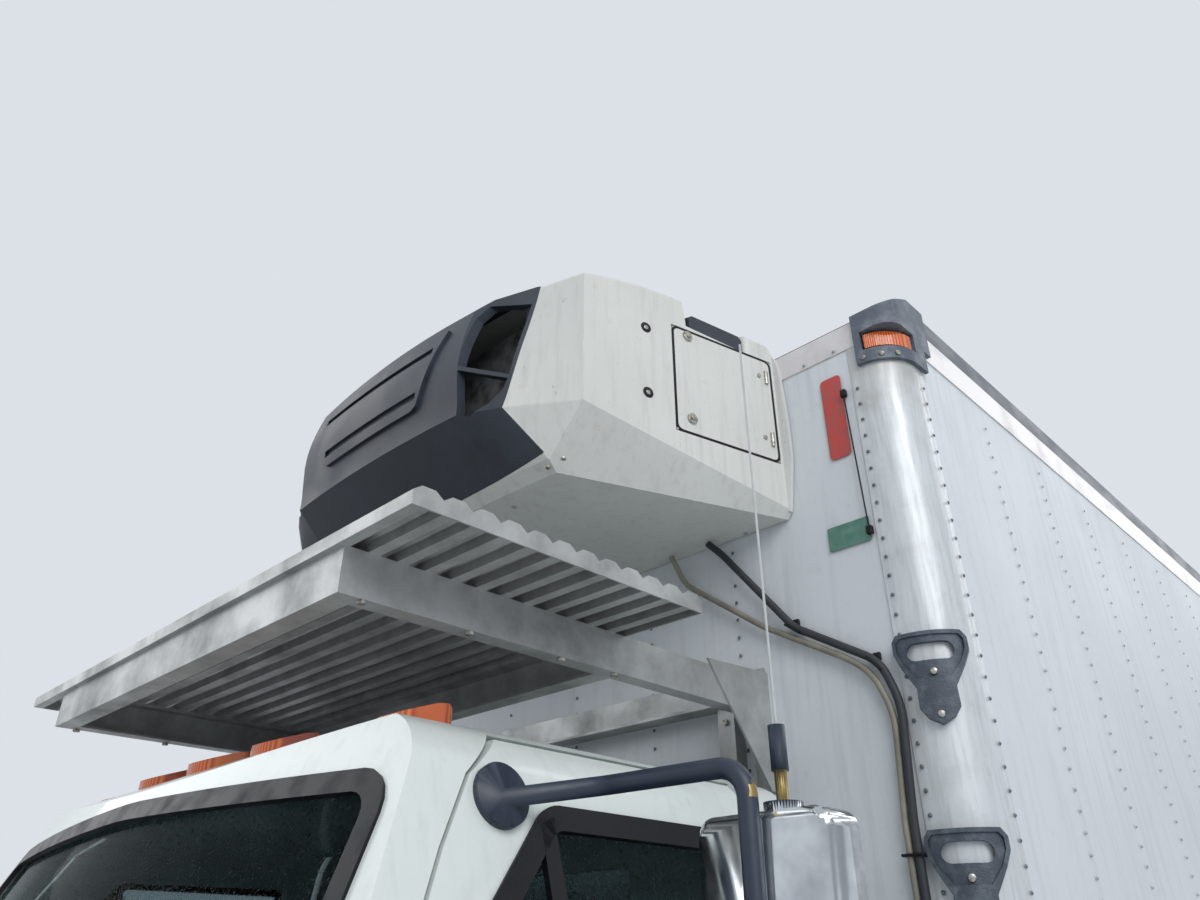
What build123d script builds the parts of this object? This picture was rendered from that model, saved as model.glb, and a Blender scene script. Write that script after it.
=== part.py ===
from build123d import *
from math import cos, radians, sin
import os

os.makedirs("parts", exist_ok=True)

# Refrigerated truck, in millimetres. +Z is up, +X is the truck's left side and the cab faces -Y.
# While it is drawn, y is counted from the front wall of the insulated box, rearwards.
# The finished pieces are moved together so that the origin is under the middle of the truck.

# Overall lengths and heights
FRONT_END = -2850
REAR_END = 6180
BOX_LENGTH = 6096
BOX_HALF_WIDTH = 1230
BOX_BOTTOM = 1010
BOX_FLOOR_TOP = 1230
BOX_WALL = 75
RAIL_BOTTOM = 3393
RAIL_TOP = 3485
ROOF_TOP = 3550
SKIN_STEP = 4
CAP_EDGE_X = 1119
CORNER_RADIUS = 105
CORNER_DEPTH = 141

# Chassis
FRAME_HALF_WIDTH = 432
FRAME_TOP = 930
FRAME_DEPTH = 254
FLANGE = 80
PLATE = 8
FRONT_AXLE_Y = -1900
REAR_AXLE_Y = 3730

# Wheels
TYRE_RADIUS = 465
TYRE_WIDTH = 255
BEAD_RADIUS = 292
DISC_OFFSET = 167
FRONT_WHEEL_X = 1015
REAR_INNER_X = 744
REAR_OUTER_X = 1087
KINGPIN_X = 880

# Cab
CAB_HALF_WIDTH = 1045
CAB_BACK = -167
CAB_BOTTOM = 960
COWL_Z = 1620
SCREEN_TOP_Y = -1245
SCREEN_TOP_Z = 2182
SCREEN_RAKE = 0.45
SCREEN_BOW = 115
CAB_WALL = 45

# Tilting hood
HOOD_WALL = 14
HOOD_PIVOT_Y = -2768
HOOD_PIVOT_Z = 805
ARCH_RADIUS = 520

# Refrigeration unit on the front wall of the box
UNIT_REAR_HALF = 854
UNIT_SHOULDER_HALF = 694
UNIT_SHOULDER_Y = -657
UNIT_FRONT_HALF = 514
UNIT_CREASE_X = 400
UNIT_BOTTOM = 2950
UNIT_KINK_Z = 3116
UNIT_TOP = 3671
UNIT_SKIN = 16

# Work deck between the unit and the cab roof
DECK_FRONT = -1264
DECK_REAR = -530
DECK_HALF_WIDTH = 932
DECK_TOP = 2553
PLANK_COUNT = 12
BEAM_HALF_SPAN = 712
BEAM_BOTTOM = 2435
BEAM_TOP = DECK_TOP - 30


def block(x, y, z):
    """A rectangular piece between the low and high limits given for each axis."""
    centre = Pos((x[0] + x[1]) / 2, (y[0] + y[1]) / 2, (z[0] + z[1]) / 2)
    return centre * Box(x[1] - x[0], y[1] - y[0], z[1] - z[0])


def side_prism(outline, x):
    """A (y, z) outline seen from the side, drawn out across the truck."""
    face = make_face(Plane.YZ * Polyline(*outline, close=True))
    return Pos(x[0], 0, 0) * extrude(face, x[1] - x[0], dir=(1, 0, 0))


def front_prism(outline, y):
    """An (x, z) outline seen from the front, drawn out along the truck."""
    face = make_face(Plane.XZ * Polyline(*outline, close=True))
    return Pos(0, y[0], 0) * extrude(face, y[1] - y[0], dir=(0, 1, 0))


def plan_prism(outline, z):
    """An (x, y) outline seen from above, drawn out upwards."""
    face = make_face(Polyline(*outline, close=True))
    return Pos(0, 0, z[0]) * extrude(face, z[1] - z[0], dir=(0, 0, 1))


def rod_x(x, y, z, radius):
    """A round bar across the truck."""
    return Pos((x[0] + x[1]) / 2, y, z) * Rot(0, 90, 0) * Cylinder(radius, x[1] - x[0])


def rod_y(x, y, z, radius):
    """A round bar along the truck."""
    return Pos(x, (y[0] + y[1]) / 2, z) * Rot(90, 0, 0) * Cylinder(radius, y[1] - y[0])


def rod_z(x, y, z, radius):
    """An upright round bar."""
    return Pos(x, y, (z[0] + z[1]) / 2) * Cylinder(radius, z[1] - z[0])


def turned(outline):
    """An outline of (distance along the axle, radius) points turned about the axle."""
    return revolve(make_face(Polyline(*outline, close=True)), Axis.X)


def tube_along(points, radii, radius):
    """A round tube on straight runs that are joined by arcs."""
    path = FilletPolyline(*points, radius=radii)
    start = path @ 0
    section = Plane(origin=start, z_dir=path % 0) * Circle(radius)
    return sweep(section, path=path)


def group(*pieces):
    """Like pieces that share a node, as separate solids."""
    return Compound([solid for piece in pieces for solid in piece.solids()])


def both_sides(piece):
    """The piece with its mirror image on the other side of the truck."""
    return group(piece, mirror(piece, Plane.YZ))


def other_side(piece):
    """The mirror image on the truck's right side."""
    return mirror(piece, Plane.YZ)


PIECES = {}


def keep(name, piece):
    PIECES[name] = piece


# Frame: two channel rails, cross members, spring hangers and tow eyes
FRAME_BOTTOM = FRAME_TOP - FRAME_DEPTH
RAIL_ENDS = (-2740, 5975)
RAIL_INSIDE = FRAME_HALF_WIDTH - FLANGE

rail_section = [
    (FRAME_HALF_WIDTH, FRAME_BOTTOM),
    (FRAME_HALF_WIDTH, FRAME_TOP),
    (RAIL_INSIDE, FRAME_TOP),
    (RAIL_INSIDE, FRAME_TOP - PLATE),
    (FRAME_HALF_WIDTH - PLATE, FRAME_TOP - PLATE),
    (FRAME_HALF_WIDTH - PLATE, FRAME_BOTTOM + PLATE),
    (RAIL_INSIDE, FRAME_BOTTOM + PLATE),
    (RAIL_INSIDE, FRAME_BOTTOM),
]
rail = front_prism(rail_section, RAIL_ENDS)
frame = rail + other_side(rail)

# each row: y of the cross member's web, its height
CROSS_MEMBERS = [(-2700, 200), (-420, 90), (540, 90), (1590, 110), (2950, 220), (4500, 220), (5960, 230)]
for cross_y, cross_height in CROSS_MEMBERS:
    mid = FRAME_TOP - FRAME_DEPTH / 2
    channel = [
        (cross_y, mid - cross_height / 2),
        (cross_y + 60, mid - cross_height / 2),
        (cross_y + 60, mid - cross_height / 2 + PLATE),
        (cross_y + PLATE, mid - cross_height / 2 + PLATE),
        (cross_y + PLATE, mid + cross_height / 2 - PLATE),
        (cross_y + 60, mid + cross_height / 2 - PLATE),
        (cross_y + 60, mid + cross_height / 2),
        (cross_y, mid + cross_height / 2),
    ]
    if cross_y > 5900:
        channel = [(2 * cross_y - y, z) for y, z in channel]
    frame += side_prism(channel, (-FRAME_HALF_WIDTH + PLATE, FRAME_HALF_WIDTH - PLATE))

FRONT_SPRING_X = 392
REAR_SPRING_X = 486
SPRING_HALF_WIDTH = 38
FRONT_SPRING_END_Z = 620
REAR_SPRING_END_Z = 700
FRONT_SPRING_REACH = 660
REAR_SPRING_REACH = 720
EYE_RADIUS = 28

for end in (-1, 1):
    eye_y = FRONT_AXLE_Y + end * FRONT_SPRING_REACH
    hanger = side_prism(
        [
            (eye_y - 70, FRAME_BOTTOM + 2),
            (eye_y + 70, FRAME_BOTTOM + 2),
            (eye_y + 34, FRONT_SPRING_END_Z - 30),
            (eye_y - 34, FRONT_SPRING_END_Z - 30),
        ],
        (FRONT_SPRING_X - 52, FRONT_SPRING_X + 40),
    )
    hanger -= block(
        (FRONT_SPRING_X - SPRING_HALF_WIDTH - 1, FRONT_SPRING_X + SPRING_HALF_WIDTH + 1),
        (eye_y - 80, eye_y + 80),
        (FRONT_SPRING_END_Z - 60, FRONT_SPRING_END_Z + EYE_RADIUS + 14),
    )
    frame += hanger + other_side(hanger)
    eye_y = REAR_AXLE_Y + end * REAR_SPRING_REACH
    hanger = side_prism(
        [
            (eye_y - 90, FRAME_TOP - 40),
            (eye_y + 90, FRAME_TOP - 40),
            (eye_y + 40, REAR_SPRING_END_Z - 34),
            (eye_y - 40, REAR_SPRING_END_Z - 34),
        ],
        (FRAME_HALF_WIDTH - 1, REAR_SPRING_X + SPRING_HALF_WIDTH + 12),
    )
    hanger -= block(
        (REAR_SPRING_X - SPRING_HALF_WIDTH - 1, REAR_SPRING_X + SPRING_HALF_WIDTH + 1),
        (eye_y - 100, eye_y + 100),
        (REAR_SPRING_END_Z - 60, REAR_SPRING_END_Z + EYE_RADIUS + 16),
    )
    frame += hanger + other_side(hanger)

TOW_EYE_X = 380
TOW_EYE_Z = 610
TOW_HOLE_RADIUS = 22
REAR_EYE_Y = 5915
tow_plate = side_prism(
    [(-2740, 700), (-2740, 560), (-2790, 560), (-2835, 585), (-2835, 640), (-2780, 700)],
    (TOW_EYE_X - 10, TOW_EYE_X + 10),
)
tow_plate += block((TOW_EYE_X - 10, FRAME_HALF_WIDTH), (-2745, -2700), (640, FRAME_BOTTOM + 30))
tow_plate -= rod_x((TOW_EYE_X - 20, TOW_EYE_X + 20), -2800, TOW_EYE_Z, TOW_HOLE_RADIUS)
frame += tow_plate + other_side(tow_plate)
rear_eye = side_prism(
    [(5870, FRAME_BOTTOM + 20), (5870, 600), (5895, 565), (5935, 565), (5960, 600),
     (5960, FRAME_BOTTOM + 20)],
    (TOW_EYE_X + 34, FRAME_HALF_WIDTH + 1))
rear_eye -= rod_x((TOW_EYE_X, FRAME_HALF_WIDTH + 10), REAR_EYE_Y, TOW_EYE_Z, TOW_HOLE_RADIUS)
frame += rear_eye + other_side(rear_eye)
keep("frame", frame)

# Front bumper: pressed channel with swept ends and slots for the tow eyes
BUMPER_BOTTOM = 440
BUMPER_TOP = 745
BUMPER_HALF = 1165
bumper_plan = [
    (-BUMPER_HALF, -2640),
    (-BUMPER_HALF, -2740),
    (-BUMPER_HALF + 90, -2815),
    (-700, FRONT_END),
    (700, FRONT_END),
    (BUMPER_HALF - 90, -2815),
    (BUMPER_HALF, -2740),
    (BUMPER_HALF, -2640),
]
bumper_core = [
    (-BUMPER_HALF + 8, -2630),
    (-BUMPER_HALF + 8, -2736),
    (-BUMPER_HALF + 94, -2806),
    (-699, FRONT_END + 9),
    (699, FRONT_END + 9),
    (BUMPER_HALF - 94, -2806),
    (BUMPER_HALF - 8, -2736),
    (BUMPER_HALF - 8, -2630),
]
bumper = plan_prism(bumper_plan, (BUMPER_BOTTOM, BUMPER_TOP))
bumper -= plan_prism(bumper_core, (BUMPER_BOTTOM + 8, BUMPER_TOP - 8))
bumper -= block((-1080, 1080), (-2752, -2600), (BUMPER_BOTTOM - 1, BUMPER_TOP + 1))
for tow_x in (-TOW_EYE_X, TOW_EYE_X):
    bumper -= block((tow_x - 34, tow_x + 34), (FRONT_END - 5, -2790), (TOW_EYE_Z - 62, TOW_EYE_Z + 62))
bumper -= block((-300, 300), (FRONT_END - 5, -2790), (BUMPER_BOTTOM + 60, BUMPER_BOTTOM + 120))
for bracket_x in (-FRAME_HALF_WIDTH - 6, FRAME_HALF_WIDTH + 6):
    bumper += block((bracket_x - 6, bracket_x + 6), (-2842, -2640), (690, 742))
keep("bumper", bumper)

# Front axle: dropped I-beam with an eye for each kingpin
BEAM_Z = 395
AXLE_Z = TYRE_RADIUS
KINGPIN_RADIUS = 21.2
beam = block((-700, 700), (FRONT_AXLE_Y - 50, FRONT_AXLE_Y + 50), (BEAM_Z - 52, BEAM_Z - 32))
beam += block((-700, 700), (FRONT_AXLE_Y - 50, FRONT_AXLE_Y + 50), (BEAM_Z + 32, BEAM_Z + 52))
beam += block((-700, 700), (FRONT_AXLE_Y - 9, FRONT_AXLE_Y + 9), (BEAM_Z - 40, BEAM_Z + 40))
beam_end = front_prism(
    [(690, BEAM_Z - 52), (690, BEAM_Z + 52), (800, AXLE_Z + 40), (890, AXLE_Z + 56),
     (890, AXLE_Z - 56), (800, AXLE_Z - 56)],
    (FRONT_AXLE_Y - 38, FRONT_AXLE_Y + 38),
)
beam_end += rod_z(KINGPIN_X, FRONT_AXLE_Y, (AXLE_Z - 56, AXLE_Z + 56), 46)
beam_end -= rod_z(KINGPIN_X, FRONT_AXLE_Y, (AXLE_Z - 70, AXLE_Z + 70), KINGPIN_RADIUS + 0.8)
spring_pad = block(
    (FRONT_SPRING_X - 50, FRONT_SPRING_X + 50),
    (FRONT_AXLE_Y - 80, FRONT_AXLE_Y + 80),
    (BEAM_Z + 50, BEAM_Z + 70),
)
front_axle = beam + beam_end + other_side(beam_end) + spring_pad + other_side(spring_pad)
keep("front_axle", front_axle)


def leaf_pack(axle_y, seat_z, end_z, reach, centre_x, thickness):
    """A leaf spring: arched pack of leaves, thickest over the axle, with a rolled eye at each end."""
    half = SPRING_HALF_WIDTH
    upper = ThreePointArc((-reach, end_z + 8), (0, seat_z + thickness), (reach, end_z + 8))
    drop = Line((reach, end_z + 8), (reach, end_z - 8))
    lower_rear = ThreePointArc(
        (reach, end_z - 8), (reach * 0.5, (seat_z + end_z) / 2 - 16), (80, seat_z))
    seat = Line((80, seat_z), (-80, seat_z))
    lower_front = ThreePointArc(
        (-80, seat_z), (-reach * 0.5, (seat_z + end_z) / 2 - 16), (-reach, end_z - 8))
    rise = Line((-reach, end_z - 8), (-reach, end_z + 8))
    face = make_face(Plane.YZ * (Curve() + [upper, drop, lower_rear, seat, lower_front, rise]))
    pack = Pos(centre_x - half, 0, 0) * extrude(face, 2 * half, dir=(1, 0, 0))
    for end in (-1, 1):
        pack += rod_x((centre_x - half, centre_x + half), end * reach, end_z, EYE_RADIUS)
    return Pos(0, axle_y, 0) * pack


front_spring = leaf_pack(
    FRONT_AXLE_Y, BEAM_Z + 71, FRONT_SPRING_END_Z, FRONT_SPRING_REACH, FRONT_SPRING_X, 62)
rear_spring = leaf_pack(
    REAR_AXLE_Y, AXLE_Z + 106, REAR_SPRING_END_Z, REAR_SPRING_REACH, REAR_SPRING_X, 84)
keep("leaf_springs", group(
    front_spring, other_side(front_spring), rear_spring, other_side(rear_spring)))

# Rear axle: banjo housing, tapered tubes, spring seats and the spindle ends inside the hubs
HUB_FACE_X = REAR_INNER_X + DISC_OFFSET
rear_axle = rod_x((-640, 640), 0, 0, 72)
rear_axle += rod_x((-905, 905), 0, 0, 44)
rear_axle += rod_x((-170, 170), 0, 0, 150)
rear_axle += rod_y(0, (-330, 0), 0, 120)
rear_axle += rod_y(0, (0, 190), 0, 130)
for side in (-1, 1):
    rear_axle += turned([(side * 165, 0), (side * 165, 150), (side * 420, 72), (side * 420, 0)])
    rear_axle += block(
        (side * REAR_SPRING_X - 52, side * REAR_SPRING_X + 52), (-90, 90), (60, 105))
rear_axle = Pos(0, REAR_AXLE_Y, AXLE_Z) * rear_axle
keep("rear_axle", rear_axle)

# Drive shaft in two tubes with a centre bearing
SHAFT_START = (0, -520, 700)
SHAFT_MIDDLE = (0, 1620, 680)
SHAFT_END = (0, REAR_AXLE_Y - 342, AXLE_Z + 10)


def straight_tube(start, end, radius):
    """A round bar from one point to another."""
    start = Vector(*start)
    run = Vector(*end) - start
    bar = Pos(0, 0, run.length / 2) * Cylinder(radius, run.length)
    return Plane(origin=start, z_dir=run.normalized()) * bar


BEARING_TOP = FRAME_TOP - FRAME_DEPTH / 2 - 55
driveshaft = straight_tube(SHAFT_START, SHAFT_MIDDLE, 50)
driveshaft += straight_tube(SHAFT_MIDDLE, SHAFT_END, 50)
driveshaft += rod_y(0, (SHAFT_END[1] - 4, REAR_AXLE_Y - 330), AXLE_Z + 10, 62)
driveshaft += rod_y(0, (1585, 1655), SHAFT_MIDDLE[2], 66)
driveshaft += block((-110, 110), (1600, 1640), (700, BEARING_TOP))
keep("driveshaft", driveshaft)

# Engine with gearbox as one plain block, and the radiator core in its frame
engine = block((-310, 310), (-2420, -1520), (640, 1290))
engine += block((-330, 330), (-2200, -1700), (700, 1180))
engine += rod_y(0, (-1540, -1380), 735, 205)
engine += block((-170, 170), (-1390, -640), (600, 880))
engine += rod_y(0, (-650, -525), 700, 90)
radiator = block((-340, 340), (-2590, -2520), (690, 1270))
radiator -= block((-300, 300), (-2600, -2580), (730, 1230))
radiator += rod_y(0, (-2521, -2460), 985, 270)
keep("engine", group(engine, radiator))

# Fuel tank under the driver's door, with straps and two steps, and two air tanks behind it
TANK_RADIUS = 275
TANK_X = 745
TANK_Z = 610
TANK_ENDS = (-1150, -180)
tank = fillet(rod_y(TANK_X, TANK_ENDS, TANK_Z, TANK_RADIUS).edges(), 30)
for strap_y in (-980, -350):
    tank += rod_y(TANK_X, (strap_y - 25, strap_y + 25), TANK_Z, TANK_RADIUS + 6)
    tank += block((FRAME_HALF_WIDTH, FRAME_HALF_WIDTH + 60), (strap_y - 30, strap_y + 30), (420, 900))
tank += rod_x((TANK_X + 120, TANK_X + 240), -260, TANK_Z + 210, 48)


def step_pair(x_in, x_out, y_range):
    """Two step treads hung on side plates, below the cab door."""
    steps = block((x_in, x_out), y_range, (795, 820)) + block((x_in + 90, x_out), y_range, (470, 495))
    for plate_y in (y_range[0], y_range[1] - 10):
        steps += side_prism(
            [(plate_y, 470), (plate_y + 10, 470), (plate_y + 10, 820), (plate_y, 820)], (x_in + 90, x_out))
    return steps


tank += step_pair(860, 1130, (-1140, -640))
air_tanks = []
for tank_z in (590, 815):
    reservoir = fillet(rod_y(560, (60, 440), tank_z, 100).edges(), 35)
    reservoir += block((FRAME_HALF_WIDTH, 480), (200, 300), (tank_z - 20, tank_z + 45))
    air_tanks.append(reservoir)
keep("tanks", group(tank, *air_tanks))

# Battery box on the right side, with the same steps
battery_box = block((-1010, -470), (-1140, -560), (450, 880))
battery_box = fillet(battery_box.edges().filter_by(Axis.Y), 25)
battery_box += other_side(step_pair(860, 1130, (-1140, -640)))
battery_box += block((-475, -FRAME_HALF_WIDTH), (-1100, -600), (640, 860))
keep("battery_box", battery_box)

# Exhaust: down pipe, cross pipe under the right rail, muffler and tail pipe, as (x, y, z) bends
PIPE_RADIUS = 45
PIPE_BENDS = [
    (-235, -1700, 588),
    (-235, -480, 588),
    (-640, -60, 590),
    (-640, 1400, 590),
    (-1130, 1580, 530),
]
exhaust = rod_y(-640, (300, 1120), PIPE_BENDS[2][2], 125)
exhaust = chamfer(exhaust.edges(), 25)
for start, end in zip(PIPE_BENDS[:-1], PIPE_BENDS[1:]):
    exhaust += straight_tube(start, end, PIPE_RADIUS)
for bend in PIPE_BENDS[1:-1]:
    exhaust += Pos(*bend) * Sphere(PIPE_RADIUS)
for strap_y in (440, 960):
    exhaust += block((-650, -630), (strap_y, strap_y + 50), (690, 800))
    exhaust += block((-650, -FRAME_HALF_WIDTH), (strap_y, strap_y + 50), (780, 800))
keep("exhaust", exhaust)

# Cab: plan form with a bowed and raked windscreen, cut by the outlines seen from front and side
DOOR_TOP = 2212


def cab_plan(front_mid, width_inset, wall):
    """The cab seen from above at one height: bowed front, straight sides and back."""
    half = CAB_HALF_WIDTH - width_inset
    bow = ThreePointArc(
        (-half, front_mid + SCREEN_BOW), (0, front_mid), (half, front_mid + SCREEN_BOW))
    back = Polyline(
        (half, front_mid + SCREEN_BOW), (half, CAB_BACK - wall), (-half, CAB_BACK - wall),
        (-half, front_mid + SCREEN_BOW))
    return make_face(Curve() + [bow, back])


def screen_y(z):
    """Middle of the windscreen surface at a height."""
    return SCREEN_TOP_Y - SCREEN_RAKE * (SCREEN_TOP_Z - z)


def cab_form(wall):
    """The whole cab as a closed body, moved inwards by the wall."""
    tall = 2340
    low = extrude(Pos(0, 0, CAB_BOTTOM + wall) * cab_plan(screen_y(COWL_Z) + wall, wall, wall),
                  COWL_Z - CAB_BOTTOM - wall, dir=(0, 0, 1))
    shift = wall * 1.1
    high = loft([
        Pos(0, 0, COWL_Z) * cab_plan(screen_y(COWL_Z) + shift, wall, wall),
        Pos(0, 0, tall) * cab_plan(screen_y(tall) + shift, wall, wall)], ruled=True)
    body = low + high
    belt = (CAB_HALF_WIDTH - wall, 1560)
    shoulder = (880 - wall, 2134)
    corner = (826 - wall * 0.6, 2212 - wall * 0.8)
    eave = (736, 2243 - wall)
    left = Polyline((0, CAB_BOTTOM - 60), (CAB_HALF_WIDTH - wall, CAB_BOTTOM - 60), belt, shoulder)
    left_arc = ThreePointArc(shoulder, corner, eave)
    crown = ThreePointArc(eave, (0, 2292 - wall), (-eave[0], eave[1]))
    right_arc = ThreePointArc((-eave[0], eave[1]), (-corner[0], corner[1]), (-shoulder[0], shoulder[1]))
    right = Polyline(
        (-shoulder[0], shoulder[1]), (-belt[0], belt[1]), (-CAB_HALF_WIDTH + wall, CAB_BOTTOM - 60),
        (0, CAB_BOTTOM - 60))
    front_face = make_face(Plane.XZ * (Curve() + [left, left_arc, crown, right_arc, right]))
    body &= Pos(0, -1800, 0) * extrude(front_face, 1800, dir=(0, 1, 0))
    brow = ThreePointArc(
        (-1285, 2160 - wall), (-1185 + wall * 0.4, 2222 - wall), (-1070, 2256 - wall))
    roof_line = ThreePointArc((-1070, 2256 - wall), (-640, 2292 - wall), (-200, 2270 - wall))
    rest = Polyline(
        (-200, 2270 - wall), (CAB_BACK, 2235 - wall), (CAB_BACK, CAB_BOTTOM - 60),
        (-1700, CAB_BOTTOM - 60), (-1700, 2160 - wall), (-1285, 2160 - wall))
    side_face = make_face(Plane.YZ * (Curve() + [brow, roof_line, rest]))
    body &= Pos(-1200, 0, 0) * extrude(side_face, 2400, dir=(1, 0, 0))
    return body


def door_outline(front_gap, rear_gap, edge_gap):
    """The cab door seen from the side, as (y, z) points, grown by the gaps."""
    return [
        (-984 - front_gap, DOOR_TOP + edge_gap),
        (-1070 - front_gap, 2140),
        (-1133 - front_gap, 2027),
        (-1290 - front_gap, 1690),
        (-1290 - front_gap, 1010 - edge_gap),
        (-345 + rear_gap, 1010 - edge_gap),
        (-345 + rear_gap, DOOR_TOP + edge_gap),
    ]


WINDOW_OUTLINE = [(-935, 2080), (-1180, 1785), (-1180, 1725), (-430, 1725), (-430, 2085)]
WINDOW_CORNER = 32
REAR_WINDOW = [(-430, 1740), (430, 1740), (410, 2090), (-410, 2090)]


def screen_face():
    """Windscreen opening seen from the front: curved top edge and large upper corners."""
    right = Line((905, 1690), (842, 2040))
    right_corner = ThreePointArc((842, 2040), (815, 2105), (748, 2132))
    top = ThreePointArc((748, 2132), (0, 2150), (-748, 2132))
    left_corner = ThreePointArc((-748, 2132), (-815, 2105), (-842, 2040))
    rest = Polyline((-842, 2040), (-905, 1690), (905, 1690))
    return make_face(Curve() + [right, right_corner, top, left_corner, rest])


def window_prism(outline, corner, x):
    """A (y, z) outline with rounded corners, drawn out across the truck."""
    face = make_face(Plane.YZ * FilletPolyline(*outline, radius=corner, close=True))
    return Pos(x[0], 0, 0) * extrude(face, x[1] - x[0], dir=(1, 0, 0))


cab_outer = cab_form(0)
cab_inner = cab_form(CAB_WALL)
cab_skin = cab_outer - cab_inner
DOOR_SPAN = (790, 1100)
door_zone = side_prism(door_outline(8, 20, 8), DOOR_SPAN)
door_blank = cab_skin & side_prism(door_outline(0, 0, 0), DOOR_SPAN)
window_zone = window_prism(WINDOW_OUTLINE, WINDOW_CORNER, DOOR_SPAN)
screen_zone = Pos(0, -1700, 0) * extrude(Plane.XZ * screen_face(), 700, dir=(0, 1, 0))
rear_window_zone = front_prism(REAR_WINDOW, (CAB_BACK - 100, CAB_BACK + 50))

cab_shell = cab_skin - door_zone - other_side(door_zone) - screen_zone - rear_window_zone
keep("cab_shell", cab_shell)

glass_skin = cab_form(8) - cab_form(14)
windscreen = glass_skin & screen_zone
rear_glass = block((-600, 600), (CAB_BACK - 20, CAB_BACK - 14), (1700, 2150)) & rear_window_zone
keep("cab_glass", group(windscreen, rear_glass))

door_left = door_blank - window_zone
handle = block((CAB_HALF_WIDTH - 3, CAB_HALF_WIDTH + 26), (-470, -352), (1500, 1532))
handle -= block((CAB_HALF_WIDTH, CAB_HALF_WIDTH + 16), (-452, -370), (1490, 1540))
door_left += handle
keep("door_left", door_left)
keep("door_right", other_side(door_left))
door_glass = (cab_form(18) - cab_form(23)) & window_zone
keep("door_glass_left", door_glass)
keep("door_glass_right", other_side(door_glass))

# Dashboard across the cab, with the column and the steering wheel
DRIVER_X = 480
dashboard = side_prism(
    [(-1375, 1330), (-1375, 1600), (-1290, 1640), (-1160, 1625), (-1120, 1560), (-1150, 1400),
     (-1210, 1330)],
    (-960, 960))
WHEEL_CENTRE = (DRIVER_X, -935, 1540)
wheel_plane = Plane(origin=WHEEL_CENTRE, z_dir=(0, 0.5, 0.87))
steering_wheel = wheel_plane * (Torus(215, 15) + Cylinder(55, 40) + Box(410, 40, 14)
                                + Pos(0, -100, 0) * Box(40, 200, 14))
column = straight_tube((DRIVER_X, -1190, 1375), (DRIVER_X, -938, 1534), 38)
dashboard &= cab_form(CAB_WALL + 1)
keep("dashboard", dashboard + steering_wheel + column)

# Seats: cushion, back and box base for driver and passenger
SEAT_FLOOR = CAB_BOTTOM + CAB_WALL
seat_parts = []
for seat_x in (-DRIVER_X, DRIVER_X):
    base = block((seat_x - 210, seat_x + 210), (-800, -400), (SEAT_FLOOR, 1250))
    cushion = block((seat_x - 250, seat_x + 250), (-880, -390), (1250, 1380))
    back = side_prism(
        [(-400, 1250), (-395, 1400), (-350, 1900), (-285, 1960), (-235, 1940), (-235, 1250)],
        (seat_x - 240, seat_x + 240))
    seat_parts.append(base + cushion + back)
keep("seats", group(*seat_parts))

# Hood: tapered nose with the fenders moulded in, open below, at the back and over the wheels
HOOD_BACK_GAP = 14
HOOD_HALF_WIDTH = 1165
FENDER_TOP = 1225
FENDER_EDGE_RADIUS = 90
FENDER_INNER_RADIUS = 60
NOSE_CROWN = 25
# each row: y of the section, half width of the nose, height of its top, radius of its upper edges
NOSE_SECTIONS = [(-2800, 500, 1235, 110), (-2300, 620, 1400, 130), (-1380, 850, 1590, 150)]


def nose_section(y, half, top, radius):
    """One section of the nose: upright sides, rounded upper edges and a crowned top."""
    inset = radius * (1 - sin(radians(45)))
    left = Line((-half, 700), (-half, top - radius))
    left_arc = ThreePointArc((-half, top - radius), (-half + inset, top - inset), (-half + radius, top))
    crown = ThreePointArc((-half + radius, top), (0, top + NOSE_CROWN), (half - radius, top))
    right_arc = ThreePointArc((half - radius, top), (half - inset, top - inset), (half, top - radius))
    rest = Polyline((half, top - radius), (half, 700), (-half, 700))
    return Plane.XZ.offset(-y) * make_face(Curve() + [left, left_arc, crown, right_arc, rest])


def hood_form(wall):
    """The outside of the hood as a closed body, moved inwards by the wall."""
    sections = []
    for y, half, top, radius in NOSE_SECTIONS:
        front_wall = wall if y == NOSE_SECTIONS[0][0] else 0
        sections.append(nose_section(y + front_wall, half - wall, top - wall, radius - wall))
    nose = loft(sections, ruled=True)
    top = FENDER_TOP - wall
    front = -2715 + wall
    bottom = 740 if wall == 0 else 600
    side = Curve() + [
        Line((-1370, top), (-2200, top)),
        ThreePointArc((-2200, top), (-2560, top - 85), (front, 960)),
        Polyline((front, 960), (front, bottom), (-1370, bottom), (-1370, top)),
    ]
    fenders = Pos(-1200, 0, 0) * extrude(make_face(Plane.YZ * side), 2400, dir=(1, 0, 0))
    half = HOOD_HALF_WIDTH - wall
    plan = Curve() + [
        Line((-half, -1370), (-half, -2400)),
        ThreePointArc((-half, -2400), (-half + 75, -2620 + wall), (-960, -2720 + wall)),
        ThreePointArc((-960, -2720 + wall), (0, -2790 + wall), (960, -2720 + wall)),
        ThreePointArc((960, -2720 + wall), (half - 75, -2620 + wall), (half, -2400)),
        Polyline((half, -2400), (half, -1370), (-half, -1370)),
    ]
    fenders &= Pos(0, 0, 500) * extrude(make_face(plan), 900, dir=(0, 0, 1))
    upper_edges = [e for e in fenders.edges() if e.center().Z > 1000 and abs(e.center().X) > 1000]
    fenders = fillet(upper_edges, FENDER_EDGE_RADIUS if wall == 0 else FENDER_INNER_RADIUS)
    return nose + fenders


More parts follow.
